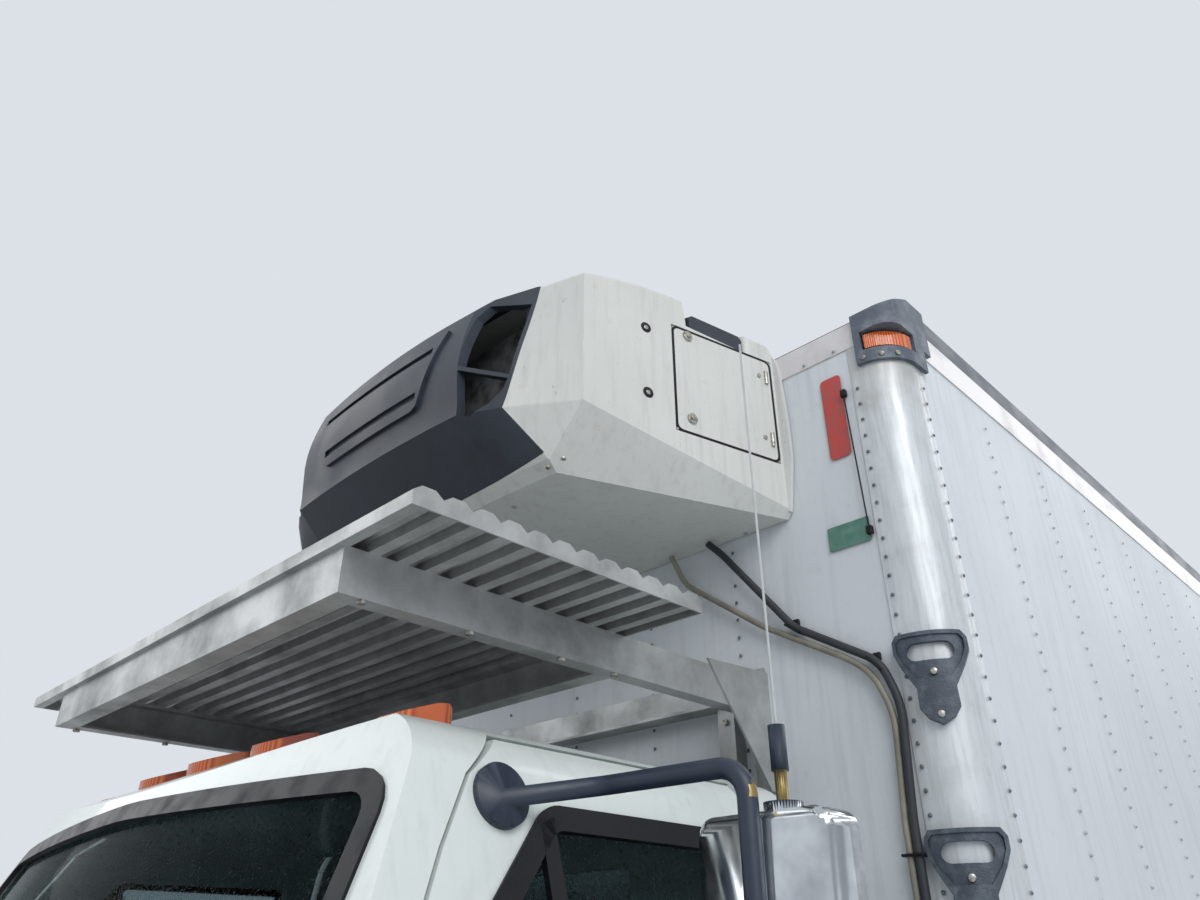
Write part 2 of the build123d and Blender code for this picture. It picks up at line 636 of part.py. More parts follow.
hood_outer = hood_form(0)
hood_skin = hood_outer - hood_form(HOOD_WALL)
hood = hood_skin - block((-1300, 1300), (-2900, -1300), (500, 760))
hood -= block((-1300, 1300), (-2900, -2690), (500, 790))
COWL_CUT_Y = screen_y(COWL_Z) - HOOD_BACK_GAP
COWL_CORNER_Y = COWL_CUT_Y + SCREEN_BOW
cowl_arc = ThreePointArc((-CAB_HALF_WIDTH, COWL_CORNER_Y), (0, COWL_CUT_Y), (CAB_HALF_WIDTH, COWL_CORNER_Y))
cowl_rest = Polyline(
    (CAB_HALF_WIDTH, COWL_CORNER_Y), (1300, COWL_CORNER_Y), (1300, -1200), (-1300, -1200),
    (-1300, COWL_CORNER_Y), (-CAB_HALF_WIDTH, COWL_CORNER_Y))
hood -= Pos(0, 0, 500) * extrude(make_face(Curve() + [cowl_arc, cowl_rest]), 1300, dir=(0, 0, 1))
hood -= rod_x((-1300, 1300), FRONT_AXLE_Y, AXLE_Z, ARCH_RADIUS)
arch_lip = rod_x((-HOOD_HALF_WIDTH + 40, HOOD_HALF_WIDTH), FRONT_AXLE_Y, AXLE_Z, ARCH_RADIUS + 12)
arch_lip -= rod_x((-1300, 1300), FRONT_AXLE_Y, AXLE_Z, ARCH_RADIUS)
arch_lip &= block((HOOD_HALF_WIDTH - 40, 1300), (-2600, -1384), (760, 1200))
hood += arch_lip + other_side(arch_lip)

GRILLE_HALF = 420
GRILLE_BOTTOM = 840
GRILLE_TOP = 1190


def rounded_front(half, bottom, top, radius, y):
    """A rounded rectangle seen from the front, drawn out along the truck."""
    face = Plane.XZ * Pos(0, (bottom + top) / 2) * RectangleRounded(2 * half, top - bottom, radius)
    return Pos(0, y[0], 0) * extrude(face, y[1] - y[0], dir=(0, 1, 0))


hood -= rounded_front(GRILLE_HALF, GRILLE_BOTTOM, GRILLE_TOP, 50, (-2900, -2700))
LAMP_CENTRE_X = 870
LAMP_HALF = 210
lamp_zone = Pos(LAMP_CENTRE_X, 0, 0) * rounded_front(LAMP_HALF, 850, 1030, 40, (-2900, -2450))
lens_zone = Pos(LAMP_CENTRE_X, 0, 0) * rounded_front(LAMP_HALF - 5, 855, 1025, 36, (-2900, -2450))
headlamp = (Pos(0, 3, 0) * hood_outer - Pos(0, 28, 0) * hood_outer) & lens_zone
hood -= lamp_zone + other_side(lamp_zone)
for side in (-1, 1):
    lug = block((side * 300 - 12, side * 300 + 12), (-2790, -2748), (785, 838))
    hood += lug - rod_x((side * 300 - 20, side * 300 + 20), HOOD_PIVOT_Y, HOOD_PIVOT_Z, 9)
keep("hood", hood)
keep("headlamps", both_sides(headlamp))

# Grille of the hood: rounded frame with sloping horizontal bars
GRILLE_RIM = 26
hood_grille = rounded_front(GRILLE_HALF - 1, GRILLE_BOTTOM + 1, GRILLE_TOP - 1, 49, (-2812, -2780))
hood_grille -= rounded_front(
    GRILLE_HALF - GRILLE_RIM, GRILLE_BOTTOM + GRILLE_RIM, GRILLE_TOP - GRILLE_RIM, 28, (-2830, -2760))
BAR_COUNT = 7
bar_pitch = (GRILLE_TOP - GRILLE_BOTTOM - 2 * GRILLE_RIM) / (BAR_COUNT + 1)
for bar in range(1, BAR_COUNT + 1):
    bar_z = GRILLE_BOTTOM + GRILLE_RIM + bar * bar_pitch
    hood_grille += side_prism(
        [(-2808, bar_z - 9), (-2808, bar_z + 3), (-2784, bar_z + 11), (-2784, bar_z - 1)],
        (-GRILLE_HALF + GRILLE_RIM - 6, GRILLE_HALF - GRILLE_RIM + 6))
keep("hood_grille", hood_grille)

# Insulated floor with cross sills and the two long sills on the frame rails
floor = block((-1150, 1150), (76, 5945), (1110, BOX_FLOOR_TOP))
SILL_PITCH = 406
sill_y = 200
while sill_y < 5900:
    floor += block((-1150, 1150), (sill_y - 22, sill_y + 22), (BOX_BOTTOM, 1112))
    sill_y += SILL_PITCH
for side in (-1, 1):
    floor += block((side * 395 - 37, side * 395 + 37), (80, 5940), (FRAME_TOP, BOX_BOTTOM + 2))
keep("box_floor", floor)

# Walls of the insulated box
keep("box_front_wall", block((-1089, 1089), (SKIN_STEP, BOX_WALL), (BOX_BOTTOM, 3401)))
wall_left = block(
    (BOX_HALF_WIDTH - BOX_WALL, BOX_HALF_WIDTH - SKIN_STEP),
    (CORNER_DEPTH, 5945),
    (BOX_BOTTOM + 100, RAIL_BOTTOM))
keep("box_side_walls", both_sides(wall_left))

# Roof: insulated ceiling with a skin that reaches the outer edges and falls to the front
roof = block((-1150, 1150), (76, 5945), (3401, RAIL_TOP))
roof += side_prism(
    [(8, RAIL_TOP), (8, RAIL_TOP + 6), (110, ROOF_TOP), (5945, ROOF_TOP), (5945, RAIL_TOP)],
    (-BOX_HALF_WIDTH, BOX_HALF_WIDTH))
for side in (-1, 1):
    roof -= block(
        sorted((side * (CAP_EDGE_X - 0.5), side * 1300)),
        (-10, CORNER_DEPTH + 0.5),
        (RAIL_TOP - 1, ROOF_TOP + 9))
keep("box_roof", roof)

# Rounded posts at the front corners, with a flange over the front wall and the side wall


def post_face(grow):
    """Plan of the left corner post, grown outwards by a margin."""
    radius = CORNER_RADIUS + grow
    outer = BOX_HALF_WIDTH + grow
    turn = BOX_HALF_WIDTH - CORNER_RADIUS
    arc = ThreePointArc(
        (turn, -grow), (turn + radius * sin(radians(45)), CORNER_RADIUS - radius * sin(radians(45))),
        (outer, CORNER_RADIUS))
    inner = BOX_HALF_WIDTH - BOX_WALL
    rest = Polyline(
        (outer, CORNER_RADIUS), (outer, CORNER_DEPTH), (inner, CORNER_DEPTH), (inner, BOX_WALL),
        (BOX_HALF_WIDTH - CORNER_DEPTH, BOX_WALL), (BOX_HALF_WIDTH - CORNER_DEPTH, -grow), (turn, -grow))
    return make_face(Curve() + [arc, rest])


CAP_BOTTOM = 3326
CAP_GROW = 12
CAP_SIDE_BREAK = 3400
POST_TOP = 3400
POCKET = (3366, 3428)
POCKET_HALF_ANGLE = 42
POCKET_MIDDLE = 49
POST_AXIS = (BOX_HALF_WIDTH - CORNER_RADIUS, CORNER_RADIUS)
post = extrude(Pos(0, 0, BOX_BOTTOM) * post_face(0), POST_TOP - BOX_BOTTOM, dir=(0, 0, 1))
post -= block((CAP_EDGE_X - 0.5, 1300), (-20, 200), (POCKET[0] - 8, POST_TOP + 1))
keep("corner_posts", both_sides(post))

# Cast caps on the corner posts, each with a curved pocket for its lamp


def post_sector(radii, z, half_angle):
    """Part of a ring about the post's axis, the given angle to each side of the pocket's middle."""
    ring = rod_z(*POST_AXIS, z, radii[1]) - rod_z(*POST_AXIS, (z[0] - 1, z[1] + 1), radii[0])
    low, high = radians(POCKET_MIDDLE - half_angle), radians(POCKET_MIDDLE + half_angle)
    wedge = [POST_AXIS, (POST_AXIS[0] + 250 * sin(low), POST_AXIS[1] - 250 * cos(low)),
             (POST_AXIS[0] + 250, POST_AXIS[1] - 250),
             (POST_AXIS[0] + 250 * sin(high), POST_AXIS[1] - 250 * cos(high))]
    return ring & plan_prism(wedge, z)


cap = extrude(Pos(0, 0, CAP_BOTTOM) * post_face(CAP_GROW), POCKET[1] - CAP_BOTTOM, dir=(0, 0, 1))
cap &= block((CAP_EDGE_X, 1300), (-100, 300), (3000, 3600))
cap += block((BOX_HALF_WIDTH, BOX_HALF_WIDTH + CAP_GROW), (CORNER_RADIUS, 165), (CAP_BOTTOM, POCKET[1]))
cap_head = block((CAP_EDGE_X, BOX_HALF_WIDTH + CAP_GROW), (-CAP_GROW, 205), (POCKET[1], 3600))
cap_head += block((1180, BOX_HALF_WIDTH + CAP_GROW), (CORNER_RADIUS, 205), (CAP_SIDE_BREAK, 3500))
square_edge = [e for e in cap_head.edges().filter_by(Axis.Z) if e.center().X > 1235 and e.center().Y < 0]
cap_head = fillet(square_edge, 60)
cap += cap_head
cap &= side_prism(
    [(-20, CAP_BOTTOM), (-20, 3489), (110, ROOF_TOP + 7), (240, ROOF_TOP + 7), (240, CAP_BOTTOM)],
    (1000, 1300))
cap -= extrude(Pos(0, 0, CAP_BOTTOM - 1) * post_face(0.5), POCKET[0] - 6 - CAP_BOTTOM, dir=(0, 0, 1))
cap -= block((1000, BOX_HALF_WIDTH + 0.4), (BOX_WALL + 0.4, 240), (CAP_BOTTOM - 1, RAIL_TOP + 1))
cap -= block((1000, BOX_HALF_WIDTH + 0.4), (CORNER_DEPTH, 240), (CAP_BOTTOM - 1, 3600))
cap -= post_sector((82, 140), POCKET, POCKET_HALF_ANGLE)
keep("corner_caps", both_sides(cap))

# Marker lamps: one in each corner cap and five on the cab roof
corner_lamp = post_sector((84, 110), (3374, 3420), 38)
markers = [corner_lamp, other_side(corner_lamp)]
ROOF_LAMP_PLAN = (95, 135)
ROOF_LAMP_PROFILE = [(-70, -30), (-70, 8), (15, 38), (42, 42), (60, 36), (67, 20), (67, -30)]
# each row: x of the lamp, y of its middle, z of the roof under it
for lamp_x, lamp_y, lamp_z in (
        (0, -1086, 2251), (280, -1080, 2250), (-280, -1080, 2250), (658, -1034, 2251), (-658, -1034, 2251)):
    lamp = side_prism(ROOF_LAMP_PROFILE, (-60, 60))
    lamp &= Pos(0, 0, -40) * extrude(RectangleRounded(*ROOF_LAMP_PLAN, 42), 100, dir=(0, 0, 1))
    markers.append(Pos(lamp_x, lamp_y, lamp_z) * lamp - cab_outer)
keep("marker_lamps", group(*markers))

# Side and front top rails, and the lower side rails
top_rail = block((BOX_HALF_WIDTH - BOX_WALL, BOX_HALF_WIDTH), (CORNER_DEPTH, 5945), (RAIL_BOTTOM, RAIL_TOP))
low_rail = block(
    (BOX_HALF_WIDTH - BOX_WALL, BOX_HALF_WIDTH), (CORNER_DEPTH, 5945), (BOX_BOTTOM, BOX_BOTTOM + 100))
front_rail = block((-CAP_EDGE_X + 0.5, CAP_EDGE_X - 0.5), (0, BOX_WALL), (3401, 3482))
front_sill = block((-1089, 1089), (-4, SKIN_STEP), (BOX_BOTTOM, BOX_BOTTOM + 100))
keep("box_rails", group(
    top_rail, other_side(top_rail), low_rail, other_side(low_rail), front_rail, front_sill))

# Rear door frame
FRAME_START = BOX_LENGTH - 151
rear_frame = block(
    (-BOX_HALF_WIDTH, BOX_HALF_WIDTH), (FRAME_START, BOX_LENGTH), (BOX_BOTTOM - 10, ROOF_TOP))
rear_frame -= block((-1150, 1150), (FRAME_START - 5, BOX_LENGTH + 5), (1236, 3400))
HINGE_HEIGHTS = (1500, 2320, 3140)
PIN_X = BOX_HALF_WIDTH + 22
PIN_Y = BOX_LENGTH + 26
for hinge_z in HINGE_HEIGHTS:
    for side in (-1, 1):
        for end in (-1, 1):
            lug_z = hinge_z + end * 58
            rear_frame += block(
                sorted((side * (BOX_HALF_WIDTH - 60), side * (PIN_X + 14))),
                (BOX_LENGTH - 1, PIN_Y + 14), (lug_z - 16, lug_z + 16))
        rear_frame += rod_z(side * PIN_X, PIN_Y, (hinge_z - 60, hinge_z + 60), 8)
LOCK_X = 330
KEEPER_HEIGHTS = ((1198, 1234), (3404, 3444))
for side in (-1, 1):
    for keeper_z in KEEPER_HEIGHTS:
        rear_frame += block(
            (side * LOCK_X - 30, side * LOCK_X + 30), (BOX_LENGTH - 1, BOX_LENGTH + 58), keeper_z)
keep("rear_frame", rear_frame)

# Rear doors, each with three hinge straps and a lock bar with its handle
DOOR_INNER_X = 10
DOOR_OUTER_X = 1140
DOOR_FACE = BOX_LENGTH + 4
box_door = block((DOOR_INNER_X, DOOR_OUTER_X), (DOOR_FACE - 88, DOOR_FACE), (1246, 3390))
for hinge_z in HINGE_HEIGHTS:
    box_door += block((780, PIN_X), (DOOR_FACE - 1, DOOR_FACE + 8), (hinge_z - 34, hinge_z + 34))
    box_door += rod_z(PIN_X, PIN_Y, (hinge_z - 38, hinge_z + 38), 17)
    box_door += block((PIN_X - 17, PIN_X + 5), (DOOR_FACE - 1, PIN_Y), (hinge_z - 34, hinge_z + 34))
    box_door -= rod_z(PIN_X, PIN_Y, (hinge_z - 50, hinge_z + 50), 8.4)
LOCK_Y = DOOR_FACE + 36
box_door += rod_z(LOCK_X, LOCK_Y, (1262, 3374), 14)
for guide_z in (1300, 1750, 2320, 2890, 3330):
    box_door += block(
        (LOCK_X - 36, LOCK_X + 36), (DOOR_FACE - 1, LOCK_Y + 22), (guide_z - 28, guide_z + 28))
box_door += block((LOCK_X - 12, LOCK_X + 300), (LOCK_Y + 16, REAR_END - 20), (1890, 1925))
box_door += block((LOCK_X - 30, LOCK_X + 30), (LOCK_Y, REAR_END), (1875, 1940))
box_door += block((LOCK_X + 250, LOCK_X + 330), (DOOR_FACE - 1, LOCK_Y + 18), (1870, 1945))
keep("box_door_left", box_door)
keep("box_door_right", other_side(box_door))

# Tail lamps in the rear sill and the row of small lamps in the header
tail_lamps = []
for lamp_x in (700, 850, 1000):
    for side in (-1, 1):
        tail_lamps.append(Pos(side * lamp_x, BOX_LENGTH + 11, 1120) * Rot(90, 0, 0) * Cylinder(52, 22))
for lamp_x in (-1060, -200, 0, 200, 1060):
    tail_lamps.append(block((lamp_x - 48, lamp_x + 48), (BOX_LENGTH, BOX_LENGTH + 20), (3462, 3492)))
keep("tail_lamps", group(*tail_lamps))

# Rear guard bar with its uprights and a blank plate holder with four holes
PLATE_HOLE = 3.5
PLATE_SPACING = (177.8, 120.65)
PLATE_Z = 760
guard = block((-1050, 1050), (5990, 6075), (440, 540))
for side in (-1, 1):
    guard += front_prism(
        [(side * 440, 480), (side * 350, 480), (side * 350, FRAME_TOP - 20), (side * 440, FRAME_TOP - 20)],
        (5976, 6000))
guard += block((-350, 350), (5976, 5990), (640, 860))
plate_holder = block((-165, 165), (5989, 5996), (PLATE_Z - 88, PLATE_Z + 88))
guard += plate_holder
for hole_x in (-PLATE_SPACING[0] / 2, PLATE_SPACING[0] / 2):
    for hole_z in (-PLATE_SPACING[1] / 2, PLATE_SPACING[1] / 2):
        guard -= rod_y(hole_x, (5970, 6000), PLATE_Z + hole_z, PLATE_HOLE)
keep("rear_guard", guard)

# Mud flaps behind the rear wheels on hanger bars
flaps = []
FLAP_Y = REAR_AXLE_Y + 600
for side in (-1, 1):
    flap = block(sorted((side * 600, side * 1215)), (FLAP_Y, FLAP_Y + 10), (250, 900))
    flap += block(
        sorted((side * (FRAME_HALF_WIDTH + 1), side * 1215)), (FLAP_Y - 6, FLAP_Y + 26), (880, 925))
    flaps.append(flap)
keep("mud_flaps", group(*flaps))

# Refrigeration unit: lofted plan sections under a crowned roof, with the lower corners cut away
CHAMFER_POINTS = [
    (UNIT_SHOULDER_HALF, UNIT_SHOULDER_Y, 3110),
    (UNIT_REAR_HALF, 0, 2972),
    (591, -670, 2976),
]
EAR_POINTS = [
    (UNIT_FRONT_HALF, -769, UNIT_KINK_Z),
    (UNIT_SHOULDER_HALF, UNIT_SHOULDER_Y, 3110),
    (591, -670, 2976),
]
# each row: height, y of the nose in the middle, y at its creases, x and y of the seam
UNIT_SECTIONS = [
    (2950, -650, -648, 590, -640),
    (2976, -690, -684, 594, -672),
    (3116, -846, -829, 514, -769),
    (3230, -853, -836, 519, -744),
    (3343, -850, -832, 525, -719),
    (3425, -832, -813, 528, -700),
    (3520, -800, -783, 533, -680),
    (3690, -722, -705, 540, -648),
]
ROOF_CROWN = 3000
# the roof in the middle of the unit, from the front rearwards, as (y, z) points
ROOF_PROFILE = [
    (-900, 3400), (-800, 3500), (-757, 3551), (-680, 3605), (-565, 3637), (-468, 3658), (-335, UNIT_TOP),
    (-318, 3664), (-312, 3588), (-112, 3588), (-108, 3648), (-34, 3652), (-14, 3618), (10, 3600)]
STRIP_PROFILE = [(-306, 3580), (-306, 3622), (-294, 3634), (-126, 3638), (-116, 3628), (-116, 3580)]
# outline of the lip against the wall, as (x, z) points on the left side
FLANGE = [
    (800, 2958), (854, 2968), (868, 3060), (877, 3127), (878, 3203), (876, 3290), (867, 3434), (858, 3476),
    (838, 3512), (780, 3530)]
FLANGE_DEPTH = 14


def corner_cut(points, wall):
    """A large block beyond the plane through three points, on the outer lower side."""
    a, b, c = (Vector(*p) for p in points)
    normal = (b - a).cross(c - a).normalized()
    if normal.Z > 0:
        normal = normal * -1
    plane = Plane(origin=a - normal * wall, z_dir=normal)
    return plane * Pos(0, 0, 600) * Box(3000, 3000, 1200)


def crowned(profile):
    """A (y, z) outline turned about the far axis of the roof's crown."""
    face = make_face(Plane.YZ * Polyline(*profile, close=True))
    axis = Axis((0, 0, UNIT_TOP - ROOF_CROWN), (0, 1, 0))
    return revolve(face.rotate(axis, -26), axis, 52)


def unit_section(row, wall):
    """Plan of the unit at one height, moved inwards by the wall."""
    z, nose, crease, seam_x, seam_y = row
    crease_x = UNIT_CREASE_X - wall / 3
    arc = ThreePointArc((-crease_x, crease + wall), (0, nose + wall), (crease_x, crease + wall))
    right = [
        (crease_x, crease + wall), (seam_x - wall / 2, seam_y + wall),
        (UNIT_SHOULDER_HALF - wall, UNIT_SHOULDER_Y + wall / 2), (UNIT_REAR_HALF - wall, 0)]
    left = [(-x, y) for x, y in reversed(right)]
    return Pos(0, 0, z) * make_face(Curve() + [arc, Polyline(*right, *left)])


def unit_form(wall):
    """The whole unit as a closed body, moved inwards by the wall."""
    sections = []
    for row in UNIT_SECTIONS:
        lift = wall if row == UNIT_SECTIONS[0] else 0
        sections.append(Pos(0, 0, lift) * unit_section(row, wall))
    body = loft(sections[:3], ruled=True) + loft(sections[2:])
    roof_line = [(y + (wall if y < -700 else 0), z - wall) for y, z in ROOF_PROFILE]
    body &= crowned([(-900, 2700), *roof_line, (10, 2700)])
    for points in (CHAMFER_POINTS, EAR_POINTS):
        cutter = corner_cut(points, wall)
        body -= cutter
        body -= other_side(cutter)
    return body


SEAM_OUTLINE = [
    (-541, 3700), (-UNIT_FRONT_HALF, UNIT_KINK_Z), (-595, 2970), (-595, 2850),
    (595, 2850), (595, 2970), (UNIT_FRONT_HALF, UNIT_KINK_Z), (541, 3700)]
SEAM_BACK = [(-1000, 2800), (-688, 2800), (-684, 2940), (-655, 3620), (-652, 3720), (-1000, 3720)]
grille_zone = front_prism(SEAM_OUTLINE, (-1000, -600)) & side_prism(SEAM_BACK, (-900, 900))
flange = front_prism(FLANGE, (-FLANGE_DEPTH, 0))
unit_outer = unit_form(0) + flange + other_side(flange)
ROOF_EDGE_RADIUS = 20
ROOF_EDGE_END = -40
roof_edges = [
    e for e in unit_outer.edges()
    if e.geom_type != GeomType.CIRCLE and e.center().Z > 3475 and abs(e.center().X) > 540
    and e.center().Y < ROOF_EDGE_END]
unit_outer = fillet(roof_edges, ROOF_EDGE_RADIUS)
unit_skin = unit_outer - unit_form(UNIT_SKIN)
UNIT_DOOR = {"y": (-372, -28), "z": (3118, 3458)}
door_prism = block((700, 900), UNIT_DOOR["y"], UNIT_DOOR["z"])
DOOR_GAP = 6
door_hole = block(
    (700, 900),
    (UNIT_DOOR["y"][0] - DOOR_GAP, UNIT_DOOR["y"][1] + DOOR_GAP),
    (UNIT_DOOR["z"][0] - DOOR_GAP, UNIT_DOOR["z"][1] + DOOR_GAP))
keep("unit_shell", unit_skin - grille_zone - door_hole - other_side(door_hole))
unit_door = unit_skin & door_prism
keep("unit_door_left", unit_door)
keep("unit_door_right", other_side(unit_door))

# Dark grille of the unit: an opening with a thin cross bar on each slanted side of a raised panel
GRILLE_WALL = 22
unit_grille = (unit_outer - unit_form(GRILLE_WALL)) & Pos(0, -1, 0) * grille_zone
OPENING = [
    (400, 3112), (398, 3260), (410, 3440), (430, 3490), (522, 3490), (510, 3222), (504, 3182), (478, 3140),
    (433, 3110)]
CROSS_BAR = [(385, 3273), (385, 3259), (530, 3210), (530, 3224)]
opening_zone = front_prism(OPENING, (-1000, -690)) - front_prism(CROSS_BAR, (-1000, -690))
unit_grille -= opening_zone + other_side(opening_zone)
PANEL_OUTLINE = [
    (-325, 3430), (325, 3430), (249, 3228), (238, 3206), (218, 3196),
    (-218, 3196), (-238, 3206), (-249, 3228)]
PANEL_RISE = 10
panel = front_prism(PANEL_OUTLINE, (-900, -815)) & Pos(0, -PANEL_RISE, 0) * unit_outer
# each row: height of the groove's middle, half of its length
for groove_z, groove_half in ((3375, 280), (3239, 236)):
    groove = block((-groove_half, groove_half), (-900, -815), (groove_z - 11, groove_z + 11))
    panel -= groove - Pos(0, -1, 0) * unit_outer
unit_grille += panel
strip = crowned(STRIP_PROFILE) & plan_prism(
    [(-UNIT_SHOULDER_HALF - 70, -330), (UNIT_SHOULDER_HALF + 70, -330),
     (UNIT_REAR_HALF - 34, -100), (34 - UNIT_REAR_HALF, -100)], (3400, 3700))
keep("unit_grille", group(unit_grille, strip - unit_outer))

# What shows inside the unit: condenser core, engine and compressor block on a tray
works = block((-490, 490), (-640, -560), (3000, 3480))
works += block((-500, 500), (-600, -50), (2985, 3010))
works += block((-420, 420), (-520, -120), (3000, 3330))
works += block((-640, 640), (-60, -8), (3000, 3420))
works += block((-60, 60), (-570, -50), (3300, 3380))
keep("unit_works", works)

# Evaporator housing on the inside of the front wall
evaporator = side_prism(
    [(BOX_WALL + 1, 2960), (BOX_WALL + 1, 3398), (430, 3398), (470, 3330), (430, 3040), (200, 2960)],
    (-640, 640))
keep("evaporator", evaporator)

# Work deck: ribbed planks across the truck between two end plates
plank_pitch = (DECK_REAR - DECK_FRONT) / PLANK_COUNT
deck_parts = []
for plank in range(PLANK_COUNT):
    front = DECK_FRONT + plank * plank_pitch
    crest = [
        (front, DECK_TOP - 4),
        (front + 0.28 * plank_pitch, DECK_TOP + 8),
        (front + 0.72 * plank_pitch, DECK_TOP + 8),
        (front + plank_pitch, DECK_TOP - 4),
    ]
    outline = [(front, DECK_TOP - 30), *crest] + [
        (front + plank_pitch, DECK_TOP - 9),
        (front + 0.72 * plank_pitch, DECK_TOP + 3),
        (front + 0.28 * plank_pitch, DECK_TOP + 3),
        (front + 5, DECK_TOP - 7),
        (front + 5, DECK_TOP - 25),
        (front + 24, DECK_TOP - 25),
        (front + 24, DECK_TOP - 30),
    ]
    deck_parts.append(side_prism(outline, (-DECK_HALF_WIDTH, DECK_HALF_WIDTH)))
    end_plate = [(front, DECK_TOP - 30), *crest, (front + plank_pitch, DECK_TOP - 30)]
    for side in (-1, 1):
        ends = sorted((side * DECK_HALF_WIDTH, side * (DECK_HALF_WIDTH - 4)))
        deck_parts.append(side_prism(end_plate, ends))
deck_parts.append(block(
    (-DECK_HALF_WIDTH, DECK_HALF_WIDTH), (DECK_REAR - 4, DECK_REAR), (DECK_TOP - 30, DECK_TOP - 4)))
deck = deck_parts[0].fuse(*deck_parts[1:])
keep("deck", deck)

# Frame of the deck: front channel, side beams, rear channel, wall member, gussets and wall posts
channel = [
    (DECK_FRONT + 12, BEAM_BOTTOM),
    (DECK_FRONT + 12, BEAM_TOP),
    (DECK_FRONT + 60, BEAM_TOP),
    (DECK_FRONT + 60, BEAM_TOP - 6),
    (DECK_FRONT + 18, BEAM_TOP - 6),
    (DECK_FRONT + 18, BEAM_BOTTOM + 6),
    (DECK_FRONT + 60, BEAM_BOTTOM + 6),
    (DECK_FRONT + 60, BEAM_BOTTOM),
]
deck_frame = side_prism(channel, (-BEAM_HALF_SPAN, BEAM_HALF_SPAN))
rear_channel = [(DECK_FRONT + DECK_REAR - y, z) for y, z in channel]
deck_frame += side_prism(rear_channel, (-BEAM_HALF_SPAN + 2, BEAM_HALF_SPAN - 2))
side_section = [
    (BEAM_HALF_SPAN, BEAM_BOTTOM),
    (BEAM_HALF_SPAN, BEAM_TOP),
    (BEAM_HALF_SPAN - 44, BEAM_TOP),
    (BEAM_HALF_SPAN - 44, BEAM_TOP - 6),
    (BEAM_HALF_SPAN - 6, BEAM_TOP - 6),
    (BEAM_HALF_SPAN - 6, BEAM_BOTTOM + 6),
    (BEAM_HALF_SPAN - 44, BEAM_BOTTOM + 6),
    (BEAM_HALF_SPAN - 44, BEAM_BOTTOM),
]
side_beam = front_prism(side_section, (DECK_FRONT + 12, SKIN_STEP))
gusset = side_prism([(-244, 2535), (0, 2547), (0, 2250), (-20, 2250)], (BEAM_HALF_SPAN, BEAM_HALF_SPAN + 6))
gusset += block((BEAM_HALF_SPAN - 50, BEAM_HALF_SPAN + 6), (-2, SKIN_STEP), (2250, 2547))
wall_post = block((580, 632), (-40, SKIN_STEP), (2150, 2472))
deck_frame += side_beam + other_side(side_beam) + gusset + other_side(gusset)
deck_frame += wall_post + other_side(wall_post)
deck_frame += block((-BEAM_HALF_SPAN + 1, BEAM_HALF_SPAN - 1), (-60, SKIN_STEP), (2471, 2478))
deck_frame += block((-BEAM_HALF_SPAN + 1, BEAM_HALF_SPAN - 1), (-4, SKIN_STEP), (2471, 2561))
keep("deck_frame", deck_frame)

# Cast steps that wrap each corner post, with a slot for hand or toe and a sunk face
STEP_HEIGHTS = (2507, 2083, 1659, 1235)
STEP_TURN = 23.5
STEP_SHIELD = [
    (-72, 46), (-84, 30), (-84, 4), (-70, -30), (-43, -80), (-44, -126), (-28, -150), (0, -166),
    (28, -150), (44, -126), (43, -80), (70, -30), (84, 4), (84, 30), (72, 46)]
STEP_SINK = [
    (-66, 37), (-75, 26), (-75, 4), (-62, -28), (-36, -62), (36, -62), (62, -28), (75, 4), (75, 26), (66, 37)]
STEP_PLANE = Plane(
    origin=(POST_AXIS[0], POST_AXIS[1], 0), x_dir=(cos(radians(STEP_TURN)), sin(radians(STEP_TURN)), 0),
    z_dir=(sin(radians(STEP_TURN)), -cos(radians(STEP_TURN)), 0))


def step_layer(outline, low, high):
    """What an outline drawn on the step's plane cuts from a layer around the post."""
    layer = extrude(post_face(high), 240, dir=(0, 0, 1))
    layer -= extrude(Pos(0, 0, -1) * post_face(low), 242, dir=(0, 0, 1))
    drawn = extrude(STEP_PLANE * Polygon(*outline, align=None), 250, dir=STEP_PLANE.z_dir)
    return Pos(0, 0, -180) * layer & drawn


step = step_layer(STEP_SHIELD, 0.5, 20) - step_layer(STEP_SINK, 15, 30)
step -= extrude(STEP_PLANE * SlotOverall(106, 42), 250, dir=STEP_PLANE.z_dir)
steps = [Pos(0, 0, step_z) * step for step_z in STEP_HEIGHTS]
keep("side_steps", group(*steps, *[other_side(step) for step in steps]))

# Drain hose and wiring conduit from the unit's underside down the left corner
HOSE_START_Z = UNIT_BOTTOM - 7
drain_run = [
    (585, -40, HOSE_START_Z), (625, -30, 2900), (828, -18, 2640), (1052, -18, 2504), (1088, -18, 2400),
    (1072, -18, 2150), (1072, -18, 1020)]
wiring_run = [
    (445, -40, HOSE_START_Z), (480, -22, 2850), (740, -18, 2660), (960, -18, 2533), (1028, -18, 2484),
    (1068, -18, 2378), (1053, -18, 2150), (1053, -18, 1020)]
DRAIN_RADIUS = 10
WIRING_RADIUS = 8
keep("drain_hose", tube_along(drain_run, (150, 120, 110, 200, 600), DRAIN_RADIUS))
keep("wiring_conduit", tube_along(wiring_run, (100, 300, 300, 150, 200, 600), WIRING_RADIUS))

# Knuckles: forked kingpin housing, spindle, brake plate and the arm for the tie rod
ARM_END = (KINGPIN_X - 40, 190, AXLE_Z - 70)


